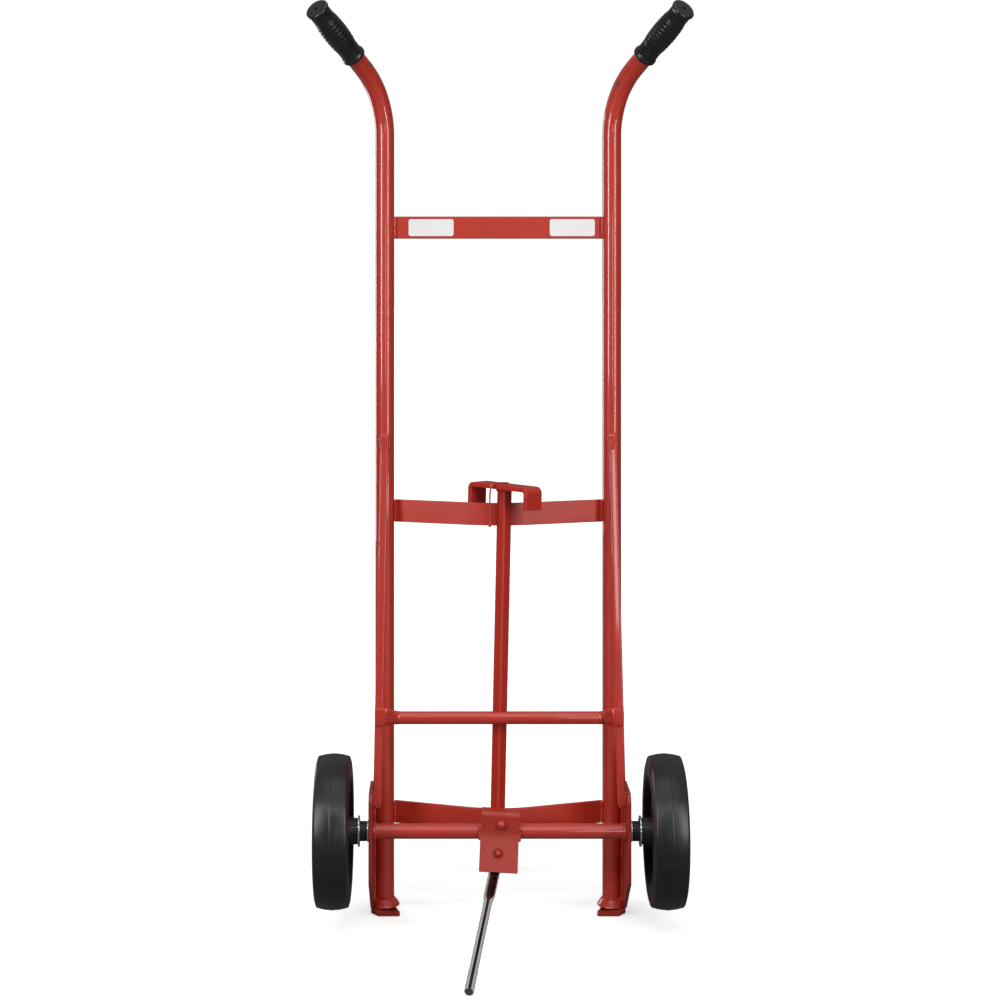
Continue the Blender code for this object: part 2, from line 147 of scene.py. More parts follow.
# %% The skin group
def build_skin_group():
    wanted = [("Vector", "NodeSocketVector", None), ("Grain", "NodeSocketFloat", 500.0)]
    made = [("Height", "NodeSocketFloat"), ("Mottle", "NodeSocketFloat"), ("Dust", "NodeSocketFloat")]
    group, start, end = new_group("fine skin", wanted, made)
    vector = start.outputs["Vector"]
    grain = noise(group, vector, start.outputs["Grain"], 2.0, 0.4)
    sag = noise(group, vector, 45.0, 2.0, 0.4)
    fine = combine(group, "MULTIPLY", grain, 0.4)
    height = combine(group, "ADD", fine, combine(group, "MULTIPLY", sag, 0.6))
    mottle = remap(group, noise(group, vector, 14.0, 5.0, 0.6), 0.3, 0.7)
    split = group.nodes.new("ShaderNodeSeparateXYZ")
    group.links.new(vector, split.inputs["Vector"])
    low_down = remap(group, split.outputs["Z"], 0.45, 0.0)
    patches = remap(group, noise(group, vector, 60.0, 6.0, 0.7), 0.42, 0.75)
    dust = combine(group, "MULTIPLY", low_down, patches)
    group.links.new(height, end.inputs["Height"])
    group.links.new(mottle, end.inputs["Mottle"])
    group.links.new(dust, end.inputs["Dust"])
    return group


# %% The chips group
CHIP_SIZE = 180.0


def build_chips_group():
    wanted = [("Vector", "NodeSocketVector", None), ("Size", "NodeSocketFloat", CHIP_SIZE)]
    wanted += [("Amount", "NodeSocketFloat", 0.25)]
    group, start, end = new_group("chips", wanted, [("Mask", "NodeSocketFloat")])
    vector = start.outputs["Vector"]
    patches = noise(group, vector, start.outputs["Size"], 5.0, 0.65)
    regions = noise(group, vector, 9.0, 1.0, 0.5)
    bare = combine(group, "ADD", patches, combine(group, "MULTIPLY", regions, 0.35))
    edge = combine(group, "SUBTRACT", 1.06, start.outputs["Amount"])
    mask = remap(group, bare, edge, combine(group, "ADD", edge, 0.02))
    group.links.new(mask, end.inputs["Mask"])
    return group


SKIN = build_skin_group()
CHIPS = build_chips_group()
print("groups", SKIN.name, "and", CHIPS.name)

# %% [markdown]
# ## Finishes
# Every finish is a Principled shader with the two groups in front of it. Sprayed gloss enamel is not flat:
# it has an orange peel skin, its colour drifts a little, and dark steel shows where it is knocked.


# %% A finish with skin and chips
DUST = (0.34, 0.30, 0.26)
BUMP_DEPTH = 0.0006


def place_group(tree, group, **values):
    node = tree.nodes.new("ShaderNodeGroup")
    node.node_tree = group
    for label, value in values.items():
        if isinstance(value, (int, float)):
            node.inputs[label].default_value = value
        else:
            tree.links.new(value, node.inputs[label])
    return node


def object_point(tree):
    return tree.nodes.new("ShaderNodeTexCoord").outputs["Object"]


def make_finish(name, colour, deep, rough, look):
    """look: metallic, coat, coat_rough, grain, bump, chips, spots, under and dusty."""
    material = bpy.data.materials.new(name)
    material.use_nodes = True
    tree = material.node_tree
    shader = tree.nodes["Principled BSDF"]
    shader.inputs["IOR"].default_value = 1.5
    shader.inputs["Coat Roughness"].default_value = look.get("coat_rough", 0.12)
    shader.inputs["Coat Weight"].default_value = look.get("coat", 0.0)
    point = object_point(tree)
    skin = place_group(tree, SKIN, Vector=point, Grain=look.get("grain", 500.0))
    chips = place_group(tree, CHIPS, Vector=point, Size=CHIP_SIZE, Amount=look.get("chips", 0.0))
    tint = blend_colours(tree, skin.outputs["Mottle"], colour, deep)
    dusty = combine(tree, "MULTIPLY", skin.outputs["Dust"], look.get("dusty", 0.15))
    tint = blend_colours(tree, dusty, tint, DUST)
    bare = chips.outputs["Mask"]
    for centre, radius in look.get("spots", ()):
        bare = combine(tree, "MAXIMUM", bare, knocked_spot(tree, point, centre, radius))
    tint = blend_colours(tree, bare, tint, look.get("under", (0.36, 0.35, 0.34)))
    tree.links.new(tint, shader.inputs["Base Color"])
    gloss = remap(tree, skin.outputs["Mottle"], 0.0, 1.0, rough[0], rough[1])
    gloss = combine(tree, "ADD", gloss, combine(tree, "MULTIPLY", dusty, 0.5))
    gloss = combine(tree, "ADD", gloss, combine(tree, "MULTIPLY", bare, 0.15))
    tree.links.new(gloss, shader.inputs["Roughness"])
    if look.get("metallic", 0.0) > 0.0:
        metal = remap(tree, skin.outputs["Dust"], 0.0, 1.0, look["metallic"], look["metallic"] * 0.7)
        tree.links.new(metal, shader.inputs["Metallic"])
    bump = tree.nodes.new("ShaderNodeBump")
    bump.inputs["Strength"].default_value = look.get("bump", 0.1)
    bump.inputs["Distance"].default_value = BUMP_DEPTH
    height = combine(tree, "SUBTRACT", skin.outputs["Height"], combine(tree, "MULTIPLY", bare, 0.5))
    tree.links.new(height, bump.inputs["Height"])
    tree.links.new(bump.outputs["Normal"], shader.inputs["Normal"])
    return material


def knocked_spot(tree, point, centre, radius):
    """A ragged bare patch round one place on the piece."""
    away = tree.nodes.new("ShaderNodeVectorMath")
    away.operation = "DISTANCE"
    tree.links.new(point, away.inputs[0])
    away.inputs[1].default_value = centre
    ragged = noise(tree, point, 320.0, 4.0, 0.7)
    reach = combine(tree, "ADD", away.outputs["Value"], combine(tree, "MULTIPLY", ragged, radius * 1.6))
    return remap(tree, reach, radius * 1.5, radius * 1.4)


# %% The finishes of this truck
RED = (0.520, 0.026, 0.0095)
RED_DEEP = (0.45, 0.021, 0.008)
BARE = (0.045, 0.045, 0.048)
# Plates, toes and the bracket carry the same red enamel as the tubes. These darker values are painted shade.
SHADED_PLATE_RED = (0.41, 0.020, 0.0078)
SHADED_PLATE_DEEP = (0.35, 0.016, 0.0065)
WELD_RED = (0.48, 0.023, 0.009)
# The drop is the same red enamel as the wire, painted brighter to stand for the light it catches
LIT_DROP_RED = (0.72, 0.030, 0.012)
paint_look = dict(under=BARE, coat=1.0, coat_rough=0.07, grain=420.0, bump=0.10, dusty=0.06)
red_paint = make_finish("red enamel", RED, RED_DEEP, (0.42, 0.50), paint_look)
bar_look = dict(under=BARE, coat=0.25, coat_rough=0.30, grain=260.0, bump=0.20, dusty=0.06)
bar_paint = make_finish("red enamel on bar", RED, RED_DEEP, (0.40, 0.50), bar_look)
plate_look = dict(under=BARE, coat=0.40, coat_rough=0.14, grain=300.0, bump=0.20, chips=0.03, dusty=0.08)
shaded_plate_paint = make_finish("red enamel on plate, painted darker for shade", SHADED_PLATE_RED, SHADED_PLATE_DEEP, (0.36, 0.48), plate_look)
weld_look = dict(under=BARE, coat=0.4, grain=700.0, bump=0.3, chips=0.04, dusty=0.12)
weld_paint = make_finish("red enamel on weld", WELD_RED, RED_DEEP, (0.22, 0.32), weld_look)
lit_drop_paint = make_finish("thick red drop, painted lit", LIT_DROP_RED, RED, (0.12, 0.18), weld_look)
grip_look = dict(coat=0.3, coat_rough=0.2, grain=900.0, bump=0.06, dusty=0.0)
grip_blacks = ((0.0045, 0.0045, 0.005), (0.007, 0.007, 0.0075))
grip_rubber = make_finish("grip rubber", *grip_blacks, (0.28, 0.38), grip_look)
tyre_look = dict(coat=0.1, coat_rough=0.3, grain=650.0, bump=0.12, dusty=0.03)
tyre_blacks = ((0.0045, 0.0045, 0.0048), (0.007, 0.007, 0.0072))
tyre_rubber = make_finish("tyre rubber", *tyre_blacks, (0.34, 0.42), tyre_look)
plastic_look = dict(grain=1100.0, bump=0.10, dusty=0.04)
plastic_blacks = ((0.006, 0.006, 0.0065), (0.010, 0.010, 0.0105))
black_plastic = make_finish("black moulding", *plastic_blacks, (0.32, 0.42), plastic_look)
zinc_look = dict(under=(0.36, 0.36, 0.36), metallic=1.0, grain=600.0, bump=0.08, dusty=0.10, chips=0.03)
zinc = make_finish("zinc plate", (0.72, 0.73, 0.75), (0.60, 0.61, 0.63), (0.18, 0.30), zinc_look)
chrome_look = dict(under=(0.5, 0.5, 0.5), metallic=1.0, grain=240.0, bump=0.004, dusty=0.0)
bright_plate = make_finish("bright plate", (0.74, 0.75, 0.77), (0.70, 0.71, 0.73), (0.07, 0.09), chrome_look)
label_look = dict(under=(0.7, 0.7, 0.68), coat=0.2, grain=900.0, bump=0.04, dusty=0.0)
blank_label = make_finish("blank label", (0.86, 0.86, 0.85), (0.81, 0.81, 0.80), (0.30, 0.40), label_look)
print("finishes", len(bpy.data.materials))

# %% Paint a dark reflection into the middle of the plating
BAND_MIDDLE = 0.12
BAND_INNER = 0.22
BAND_OUTER = 0.42
# Colour of the painted dark reflection down the middle of a plated rod
PAINTED_REFLECTION_DARK = (0.05, 0.055, 0.055)
EDGE_METAL = 0.35


def paint_reflection_band(material):
    """A bright rod mirrors the dark side of a room as a band. Here that reflection is painted into the base
    colour, set by the way the surface faces.
    """
    tree = material.node_tree
    shader = tree.nodes["Principled BSDF"]
    facing = tree.nodes.new("ShaderNodeSeparateXYZ")
    tree.links.new(tree.nodes.new("ShaderNodeTexCoord").outputs["Normal"], facing.inputs["Vector"])
    off_middle = combine(tree, "SUBTRACT", facing.outputs["X"], BAND_MIDDLE)
    edge_on = remap(tree, combine(tree, "ABSOLUTE", off_middle, 0.0), BAND_INNER, BAND_OUTER)
    plain_tint = shader.inputs["Base Color"].links[0].from_socket
    tree.links.new(blend_colours(tree, edge_on, PAINTED_REFLECTION_DARK, plain_tint), shader.inputs["Base Color"])
    tree.links.new(remap(tree, edge_on, 0.0, 1.0, 1.0, EDGE_METAL), shader.inputs["Metallic"])


paint_reflection_band(bright_plate)

# %% [markdown]
# ## Helpers for the pieces
# Each piece starts in a bmesh and goes through one function, which merges doubles, turns the faces
# outwards, shades it and puts it on its body in place of the CAD solid.


# %% Finish a piece
SHARP = 32
WELD_DISTANCE = 1e-6


def add_piece(name, bm, body, material, nodes=(), sharp=SHARP):
    name = name.replace(" ", "_")
    bmesh.ops.remove_doubles(bm, verts=bm.verts, dist=WELD_DISTANCE)
    bmesh.ops.recalc_face_normals(bm, faces=bm.faces)
    mesh = bpy.data.meshes.new(name)
    bm.to_mesh(mesh)
    bm.free()
    mesh.shade_smooth()
    mesh.set_sharp_from_angle(angle=math.radians(sharp))
    mesh.materials.append(material)
    piece = bpy.data.objects.new(name, mesh)
    bpy.context.scene.collection.objects.link(piece)
    weighted = piece.modifiers.new("Weighted normals", "WEIGHTED_NORMAL")
    weighted.keep_sharp = True
    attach(piece, body)
    if nodes:
        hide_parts(*nodes)
    return piece


def soften(bm, width, segments=3, angle=35):
    """Rounds every edge sharper than the angle, as a file or a paint coat does."""
    limit = math.radians(angle)
    sharp = [edge for edge in bm.edges if edge.is_manifold and edge.calc_face_angle(0.0) > limit]
    bmesh.ops.bevel(bm, geom=sharp, offset=width, offset_type="OFFSET", affect="EDGES", segments=segments,
                    profile=0.5, material=-1, clamp_overlap=True)


def close_ends(bm):
    rim = [edge for edge in bm.edges if edge.is_boundary]
    bmesh.ops.holes_fill(bm, edges=rim, sides=0)


# %% Extrude a flat outline
def cut_plate(bm, outline, thickness):
    """An outline in the XY plane, given its thickness along Z."""
    verts = [bm.verts.new((x, y, -thickness / 2)) for x, y in outline]
    face = bm.faces.new(verts)
    grown = bmesh.ops.extrude_face_region(bm, geom=[face], use_keep_orig=True)
    top = [item for item in grown["geom"] if isinstance(item, bmesh.types.BMVert)]
    bmesh.ops.translate(bm, verts=top, vec=(0, 0, thickness))
    bmesh.ops.recalc_face_normals(bm, faces=bm.faces)


def rectangle(half, low, high):
    return [(-half, low), (half, low), (half, high), (-half, high)]


def rounded(corners, radius, steps=6):
    """Replaces each corner of an outline by an arc."""
    outline = []
    count = len(corners)
    for index, corner in enumerate(corners):
        here = Vector(corner)
        to_last = Vector(corners[index - 1]) - here
        to_next = Vector(corners[(index + 1) % count]) - here
        reach = min(radius, to_last.length * 0.45, to_next.length * 0.45)
        start = here + to_last.normalized() * reach
        end = here + to_next.normalized() * reach
        for step in range(steps + 1):
            t = step / steps
            point = start * (1 - t) ** 2 + here * 2 * t * (1 - t) + end * t ** 2
            outline.append((point.x, point.y))
    return outline


# %% Sweep a ring along frames
def frame_at(point, along, wide=1.0, deep=1.0, side=Vector((1, 0, 0))):
    """A place on a path: which way it runs and how wide and deep the ring is there."""
    along = Vector(along).normalized()
    across = (side - along * side.dot(along)).normalized()
    third = along.cross(across)
    turn = Matrix((across * wide, third * deep, along)).transposed().to_4x4()
    return Matrix.Translation(point) @ turn


def sweep(bm, frames, sides=32):
    made = bmesh.ops.create_circle(bm, cap_ends=False, segments=sides, radius=1.0, matrix=frames[0])
    ring = list({edge for vert in made["verts"] for edge in vert.link_edges})
    for before, after in zip(frames, frames[1:]):
        grown = bmesh.ops.extrude_edge_only(bm, edges=ring)["geom"]
        fresh = {item for item in grown if isinstance(item, bmesh.types.BMVert)}
        edges = [item for item in grown if isinstance(item, bmesh.types.BMEdge)]
        ring = [edge for edge in edges if edge.verts[0] in fresh and edge.verts[1] in fresh]
        bmesh.ops.transform(bm, matrix=after @ before.inverted(), verts=list(fresh))
    close_ends(bm)


def add_swept(name, frames, sides, body, material, nodes=(), sharp=SHARP):
    """Sweeps a ring along the frames and finishes the piece."""
    bm = bmesh.new()
    sweep(bm, frames, sides)
    return add_piece(name, bm, body, material, nodes, sharp)


# %% Spin a profile
def turn_profile(bm, profile, steps, closed=True):
    """A profile of (radius, height) spun once about Z."""
    verts = [bm.verts.new((radius, 0, height)) for radius, height in profile]
    pairs = list(zip(verts, verts[1:]))
    if closed:
        pairs.append((verts[-1], verts[0]))
    edges = [bm.edges.new(pair) for pair in pairs]
    bmesh.ops.spin(bm, geom=verts + edges, cent=(0, 0, 0), axis=(0, 0, 1), angle=math.tau,
                   steps=steps, use_merge=True, use_duplicate=False)


def add_turned(name, profile, steps, place, body, material, nodes, closed=True, sharp=SHARP):
    """Spins a profile, puts it in its place and finishes the piece."""
    bm = bmesh.new()
    turn_profile(bm, profile, steps, closed)
    bmesh.ops.transform(bm, matrix=place, verts=bm.verts)
    return add_piece(name, bm, body, material, nodes, sharp=sharp)


def across_at(x, side=1):
    """Turns a spun piece so that its axis lies along the axle."""
    return Matrix.Translation((x, axle_y, axle_z)) @ Matrix.Rotation(side * math.pi / 2, 4, "Y")


# %% [markdown]
# ## Rails
# Each rail is one tube: straight up the back of the drum, then bent out and back to a grip. A ring is
# swept along the line of the tube, so the bend keeps its round section.

# %% Bend the rails
BEND_Z = 1.3290
BEND_R = 0.1380
BEND_ANGLE = math.radians(53.5)
BEND_HEADING = math.radians(37.5)
BEND_STRAIGHT = 0.0310
BEND_STEPS = 28
RAIL_FOOT = 0.0143
FOOT_ROUND = 0.0008
GRIP_L = 0.1210


def rail_line(side):
    """Points and directions up the rail."""
    sway = Vector((side * math.sin(BEND_HEADING), -math.cos(BEND_HEADING), 0))
    up = Vector((0, 0, 1))
    foot = Vector((side * rail_x, rail_y, RAIL_FOOT))
    line = [(foot, up), (Vector((side * rail_x, rail_y, BEND_Z)), up)]
    for step in range(1, BEND_STEPS + 1):
        angle = BEND_ANGLE * step / BEND_STEPS
        point = line[1][0] + sway * BEND_R * (1 - math.cos(angle)) + up * BEND_R * math.sin(angle)
        line.append((point, up * math.cos(angle) + sway * math.sin(angle)))
    return line


grip_place = {}
for side, word in SIDES:
    line = rail_line(side)
    last, along = line[-1]
    grip_place[side] = frame_at(last + along * BEND_STRAIGHT, along)
    line.append((last + along * (BEND_STRAIGHT + GRIP_L - 0.006), along))
    foot, up = line[0]
    frames = [frame_at(foot, up, RAIL_R * 0.95, RAIL_R * 0.95)]
    line[0] = (foot + Vector((0, 0, FOOT_ROUND)), up)
    frames += [frame_at(point, way, RAIL_R, RAIL_R) for point, way in line]
    chip = (0.2060, rail_y - 0.0340, 1.4165) if side > 0 else (-0.2155, rail_y - 0.0540, 1.4480)
    small_chip = (chip[0] - 0.004, chip[1] + 0.004, chip[2] - 0.008)
    look = dict(paint_look, spots=[(chip, 0.0085), (small_chip, 0.0060)])
    enamel = make_finish(word + " rail enamel", RED, RED_DEEP, (0.42, 0.50), look)
    rail = add_swept(word + " rail tube", frames, 48, "frame", enamel, [word + "_rail"])
    print(rail.name, len(rail.data.polygons), "faces")

# %% [markdown]
# ## Grips
# The rubber sleeves have a flange at each end, a waist and a ribbed middle for the fingers, and a small
# vent hole in the end. One profile is spun about the tube.

# %% Spin the grips
RIB_STEPS = 72
grip_outer = [(0.0030, GRIP_L), (0.0172, GRIP_L), (0.0190, GRIP_L - 0.0004), (0.0201, GRIP_L - 0.0016)]
grip_outer += [(0.0203, GRIP_L - 0.0032), (0.0201, GRIP_L - 0.0050), (0.0192, GRIP_L - 0.0066)]
grip_outer += [(0.0184, GRIP_L - 0.0082), (0.0182, GRIP_L - 0.0120), (0.0182, 0.1000)]
for step in range(RIB_STEPS + 1):
    height = 0.0960 - 0.0680 * step / RIB_STEPS
    belly = math.sin(math.pi * step / RIB_STEPS) ** 0.6
    rib = 0.00032 * math.cos(step / RIB_STEPS * math.tau * 9)
    grip_outer.append((0.0183 + 0.0027 * belly + rib * belly, height))
grip_outer += [(0.0183, 0.0240), (0.0183, 0.0100), (0.0190, 0.0078), (0.0202, 0.0064), (0.0206, 0.0048)]
grip_outer += [(0.0206, 0.0020), (0.0202, 0.0006), (0.0194, 0.0000)]
grip_inner = [(RAIL_R + 0.0004, 0.0), (RAIL_R + 0.0004, GRIP_L - 0.0040), (0.0030, GRIP_L - 0.0040)]
for side, word in SIDES:
    grip = add_turned(word + " rubber grip", grip_outer + grip_inner, 72, grip_place[side], "frame",
                      grip_rubber, [word + "_grip"], sharp=50)
    print(grip.name, "spun", len(grip.data.vertices), "points")

# %% [markdown]
# ## Crossbars
# The top bar is straight flat stock. The middle and lower bars are the same stock bent to a shallow V that
# cradles the drum: two straight arms and a rounded middle, drawn in plan and extruded to the bar's height.
# The edges of rolled flat bar are slightly round, so every corner is bevelled.

# %% Cut and bend the crossbars
BAR_T = 0.0060
BEND_IN_R = 0.1500
BEND_IN = math.radians(20.5)
BAR_EDGE = 0.0011


def bent_plan(half, low_y):
    """Plan of the V: arcs about one centre joined to arms that end square on the rails."""
    centre_y = low_y + BAR_T / 2 + BEND_IN_R
    arm_y = centre_y - BEND_IN_R * math.cos(BEND_IN)
    arm_y += (half - BEND_IN_R * math.sin(BEND_IN)) * math.tan(BEND_IN)
    plan = []
    for sign in (1, -1):
        radius = BEND_IN_R - sign * BAR_T / 2
        edge_y = arm_y + sign * BAR_T / 2 / math.cos(BEND_IN)
        plan.append((-sign * half, edge_y))
        for step in range(25):
            angle = sign * BEND_IN * (step / 12 - 1)
            plan.append((radius * math.sin(angle), centre_y - radius * math.cos(angle)))
        plan.append((sign * half, edge_y))
    return plan


bm = bmesh.new()
upper_middle = (upper_low + upper_high) / 2
size = upper_high - upper_low
bmesh.ops.create_cube(bm, size=1.0, matrix=Matrix.Translation(upper_middle) @ Matrix.Diagonal((*size, 1)))
soften(bm, BAR_EDGE)
add_piece("upper flat bar", bm, "frame", bar_paint, ["upper_crossbar"])
for word in ("middle", "lower"):
    low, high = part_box(word + "_crossbar")
    bm = bmesh.new()
    cut_plate(bm, bent_plan(high.x, low.y), high.z - low.z)
    bmesh.ops.translate(bm, verts=bm.verts, vec=(0, 0, (low.z + high.z) / 2))
    soften(bm, BAR_EDGE, 3, 50)
    bar = add_piece(word + " bent bar", bm, "frame", bar_paint, [word + "_crossbar"])
    print(bar.name, "is", round(rail_y - low.y, 4), "deep")

# %% [markdown]
# ## Labels
# Two thin vinyl labels sit on the top bar. They are left blank here.

# %% Stick on the labels
for side, word in SIDES:
    low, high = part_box(word + "_label")
    middle = (low + high) / 2
    size = high - low
    bm = bmesh.new()
    cut_plate(bm, rounded(rectangle(size.x / 2, -size.z / 2, size.z / 2), 0.0045), size.y)
    place = Matrix.Translation(middle) @ Matrix.Rotation(math.pi / 2, 4, "X")
    bmesh.ops.transform(bm, matrix=place, verts=bm.verts)
    add_piece(word + " blank label", bm, "frame", blank_label, [word + "_label"])

# %% [markdown]
# ## Struts and tie rod
# The struts are light bars, kinked near the top so that a short length lies along the rail. The tie rod
# is a pipe with both ends pressed flat. A ring of four corners sweeps the strut, and a round ring that
# changes its width and depth makes the pressed ends.

# %% Sweep the struts
STRUT_W = 0.0140
STRUT_D = 0.0120
KINK_Z = 0.7960
KINK_END_Z = 0.7900
SQUARE = math.sqrt(0.5)
section = Matrix.Diagonal((STRUT_W, STRUT_D, 1, 1)) @ Matrix.Rotation(math.pi / 4, 4, "Z")
section = section @ Matrix.Diagonal((SQUARE, SQUARE, 1, 1))
for side, word in SIDES:
    low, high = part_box(word + "_strut")
    behind = high.y - STRUT_D / 2
    top_x = side * rail_x
    foot_x = (high.x if side > 0 else low.x) - side * STRUT_W / 2
    foot_y = low.y + STRUT_D / 2
    line = [Vector((top_x, behind, high.z)), Vector((top_x, behind, KINK_Z))]
    line += [Vector((top_x + side * 0.0001, behind - 0.0002, KINK_END_Z)), Vector((foot_x, foot_y, low.z))]
    bm = bmesh.new()
    sweep(bm, [Matrix.Translation(point) @ section for point in line], 4)
    bmesh.ops.recalc_face_normals(bm, faces=bm.faces)
    soften(bm, 0.0026, 3, 50)
    add_piece(word + " strut bar", bm, "frame", red_paint, [word + "_strut"])

# %% Press the tie rod's ends
low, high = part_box("tie_rod")
TIE_R = 0.01065
TIE_LIFT = 0.0024
tie_z = (low.z + high.z) / 2
pipe_z = tie_z + TIE_LIFT
tie_y = low.y + TIE_R
lap_y = high.y - 0.0022
stations = [(high.x, lap_y, tie_z, 0.0125, 0.0019), (high.x - 0.0012, lap_y, tie_z, 0.0143, 0.0022)]
stations += [(0.1920, lap_y, tie_z, 0.0145, 0.0022), (0.1880, lap_y - 0.0006, tie_z, 0.0143, 0.0028)]
stations += [(0.1790, lap_y - 0.0060, tie_z + 0.0012, 0.0126, 0.0070)]
stations += [(0.1720, tie_y + 0.0012, pipe_z, 0.0112, 0.0101)]
stations += [(0.1640, tie_y, pipe_z, TIE_R, TIE_R), (0.0500, tie_y, pipe_z, TIE_R, TIE_R)]
stations += [(-x, y, z, tall, deep) for x, y, z, tall, deep in reversed(stations)]
frames = []
for x, y, z, tall, deep in stations:
    frames.append(frame_at(Vector((x, y, z)), (-1, 0, 0), tall, deep, Vector((0, 0, 1))))
tie_look = dict(paint_look, spots=[((0.1755, tie_y - 0.0095, tie_z - 0.0008), 0.0080)])
tie_paint = make_finish("tie rod enamel", RED, RED_DEEP, (0.30, 0.38), tie_look)
add_swept("tie rod pipe", frames, 40, "frame", tie_paint, ["tie_rod"], sharp=60)

# %% [markdown]
# ## Side plates and toes
# The side plates carry the axle and run down to the toes, which slide under the drum's rim. Both are
# thick plate, so an outline is extruded and its edges are bevelled.

# %% Cut the side plates
PLATE_T = 0.0063
for side, word in SIDES:
    low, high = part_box(word + "_side_plate")
    corners = [(low.y, low.z + 0.0674), (low.y, high.z - 0.0120), (low.y + 0.0120, high.z)]
    corners += [(high.y - 0.0360, high.z), (high.y, high.z - 0.0170), (high.y, low.z)]
    corners.append((high.y - 0.0400, low.z))
    bm = bmesh.new()
    cut_plate(bm, rounded(corners, 0.0050, 4), PLATE_T)
    soften(bm, 0.0008, 2, 60)
    turn = Matrix.Rotation(math.pi / 2, 4, "Z") @ Matrix.Rotation(math.pi / 2, 4, "X")
    middle = Matrix.Translation(((low.x + high.x) / 2, 0, 0))
    bmesh.ops.transform(bm, matrix=middle @ turn, verts=bm.verts)
    add_piece(word + " axle plate", bm, "frame", shaded_plate_paint, [word + "_side_plate"])

# %% Shape the toes
TOE_T = 0.0140
toe_plan = [(0.2160, -0.0230), (0.2180, 0.0000), (0.2120, 0.0500), (0.2040, 0.0880), (0.1960, 0.0930)]
toe_plan += [(0.1880, 0.0880), (0.1850, 0.0300), (0.1830, 0.0060), (0.1680, -0.0120), (0.1680, -0.0230)]
for side, word in SIDES:
    bm = bmesh.new()
    corners = [(side * x, y + rail_y) for x, y in toe_plan]
    cut_plate(bm, rounded(corners, 0.0040, 5), TOE_T)
    bmesh.ops.translate(bm, verts=bm.verts, vec=(0, 0, TOE_T / 2))
    tip = [vert for vert in bm.verts if vert.co.z > 0.01 and vert.co.y > rail_y + 0.045]
    for vert in tip:
        vert.co.z -= 0.0080 * min(1.0, (vert.co.y - rail_y - 0.045) / 0.045)
    for vert in bm.verts:
        if vert.co.z < 0.001 and vert.co.y < rail_y - 0.015 and abs(vert.co.x) > 0.208:
            vert.co.x -= side * 0.0090
        if vert.co.z > 0.01 and vert.co.y < rail_y - 0.005 and abs(vert.co.x) < 0.186:
            vert.co.z -= (0.186 - abs(vert.co.x)) / 0.018 * 0.0075
    soften(bm, 0.0016, 3, 50)
    add_piece(word + " drum toe", bm, "frame", shaded_plate_paint, [word + "_toe"])
print("toes reach", round(toe_high.y - rail_y, 4), "forward")

# %% [markdown]
# ## Axle
# A plated shaft runs through a painted pipe. Washers and a spacer keep each wheel off its plate, and a
# pressed cap holds it on. They are all turned shapes, so each is a bevelled profile, spun once.


# %% Turn the axle's rings
def ring_profile(inner, outer, half, edge):
    top = [(inner, half), (outer - edge, half), (outer - edge * 0.3, half - edge * 0.3), (outer, half - edge)]
    return top + [(radius, -height) for radius, height in reversed(top)]


SHAFT_BORE = 0.0084
low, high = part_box("axle_tube")
tube_profile = ring_profile(0.0092, 0.0127, (high.x - low.x) / 2, 0.0008)
add_turned("axle pipe", tube_profile, 56, across_at(0), "frame", red_paint, ["axle_tube"])
rings = (("plate_washer", zinc, 0.0004), ("axle_spacer", black_plastic, 0.0010))
rings += (("inner_washer", zinc, 0.0005), ("outer_washer", zinc, 0.0004))
for side, word in SIDES:
    for part, material, edge in rings:
        low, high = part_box(word + "_" + part)
        profile = ring_profile(SHAFT_BORE, (high.z - low.z) / 2, (high.x - low.x) / 2, edge)
        add_turned(f"{word} {part.replace('_', ' ')} ring", profile, 56, across_at((low.x + high.x) / 2),
                   "frame", material, [word + "_" + part])
    cap = [(0.0, 0.0060), (0.0040, 0.0058), (0.0075, 0.0050), (0.0100, 0.0034), (0.0116, 0.0012)]
    cap += [(0.0118, -0.0006), (0.0125, -0.0012), (0.0125, -0.0030), (0.0, -0.0030)]
    cap_low, cap_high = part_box(word + "_axle_cap")
    centre = cap_high.x - 0.0060 if side > 0 else cap_low.x + 0.0060
    add_turned(word + " pressed axle cap", cap, 48, across_at(centre, side), "frame", zinc,
               [word + "_axle_cap"], closed=False)
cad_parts["axle_shaft"].data.materials.clear()
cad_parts["axle_shaft"].data.materials.append(zinc)

# %% [markdown]
# ## Wheels
# The tyre is solid rubber with a crowned tread, chamfered shoulders and the thin line where the two
# halves of its mould met. It grips a black moulded centre with a long hub towards the frame and a plain
# steel bush. The profiles are spun once and turned onto the axle.

# %% Spin the tyres
TREAD_HALF = 0.0252
CROWN = 0.0040
half = (tyre_high.x - tyre_low.x) / 2
tread = [(0.0905, half - 0.0020), (0.0925, half - 0.0006), (0.0960, half - 0.0001), (0.1060, half)]
tread += [(0.1085, half - 0.0002), (0.1092, half - 0.0008), (0.1150, half - 0.0010), (0.1166, half - 0.0016)]
tread += [(0.1195, half - 0.0024), (0.1216, half - 0.0030), (0.1226, half - 0.0040)]
for step in range(1, 13):
    across = TREAD_HALF * (1 - step / 13)
    tread.append((wheel_r - 0.0005 - CROWN * (across / TREAD_HALF) ** 2.0, across))
tread += [(wheel_r - 0.0005, 0.0012), (wheel_r - 0.0001, 0.0007)]
tread += [(radius, -height) for radius, height in reversed(tread)]
seat = [(0.0865, 0.0060 - half), (0.0830, 0.0085 - half), (0.0795, 0.0120 - half), (0.0790, -0.0150)]
seat += [(radius, -height) for radius, height in reversed(seat)]
for side, word in SIDES:
    tyre = add_turned(word + " solid tyre", tread + seat, 144, across_at(side * wheel_x, side),
                      word + "_wheel", tyre_rubber, [word + "_tyre"], sharp=40)
    print(tyre.name, len(tyre.data.polygons), "faces")

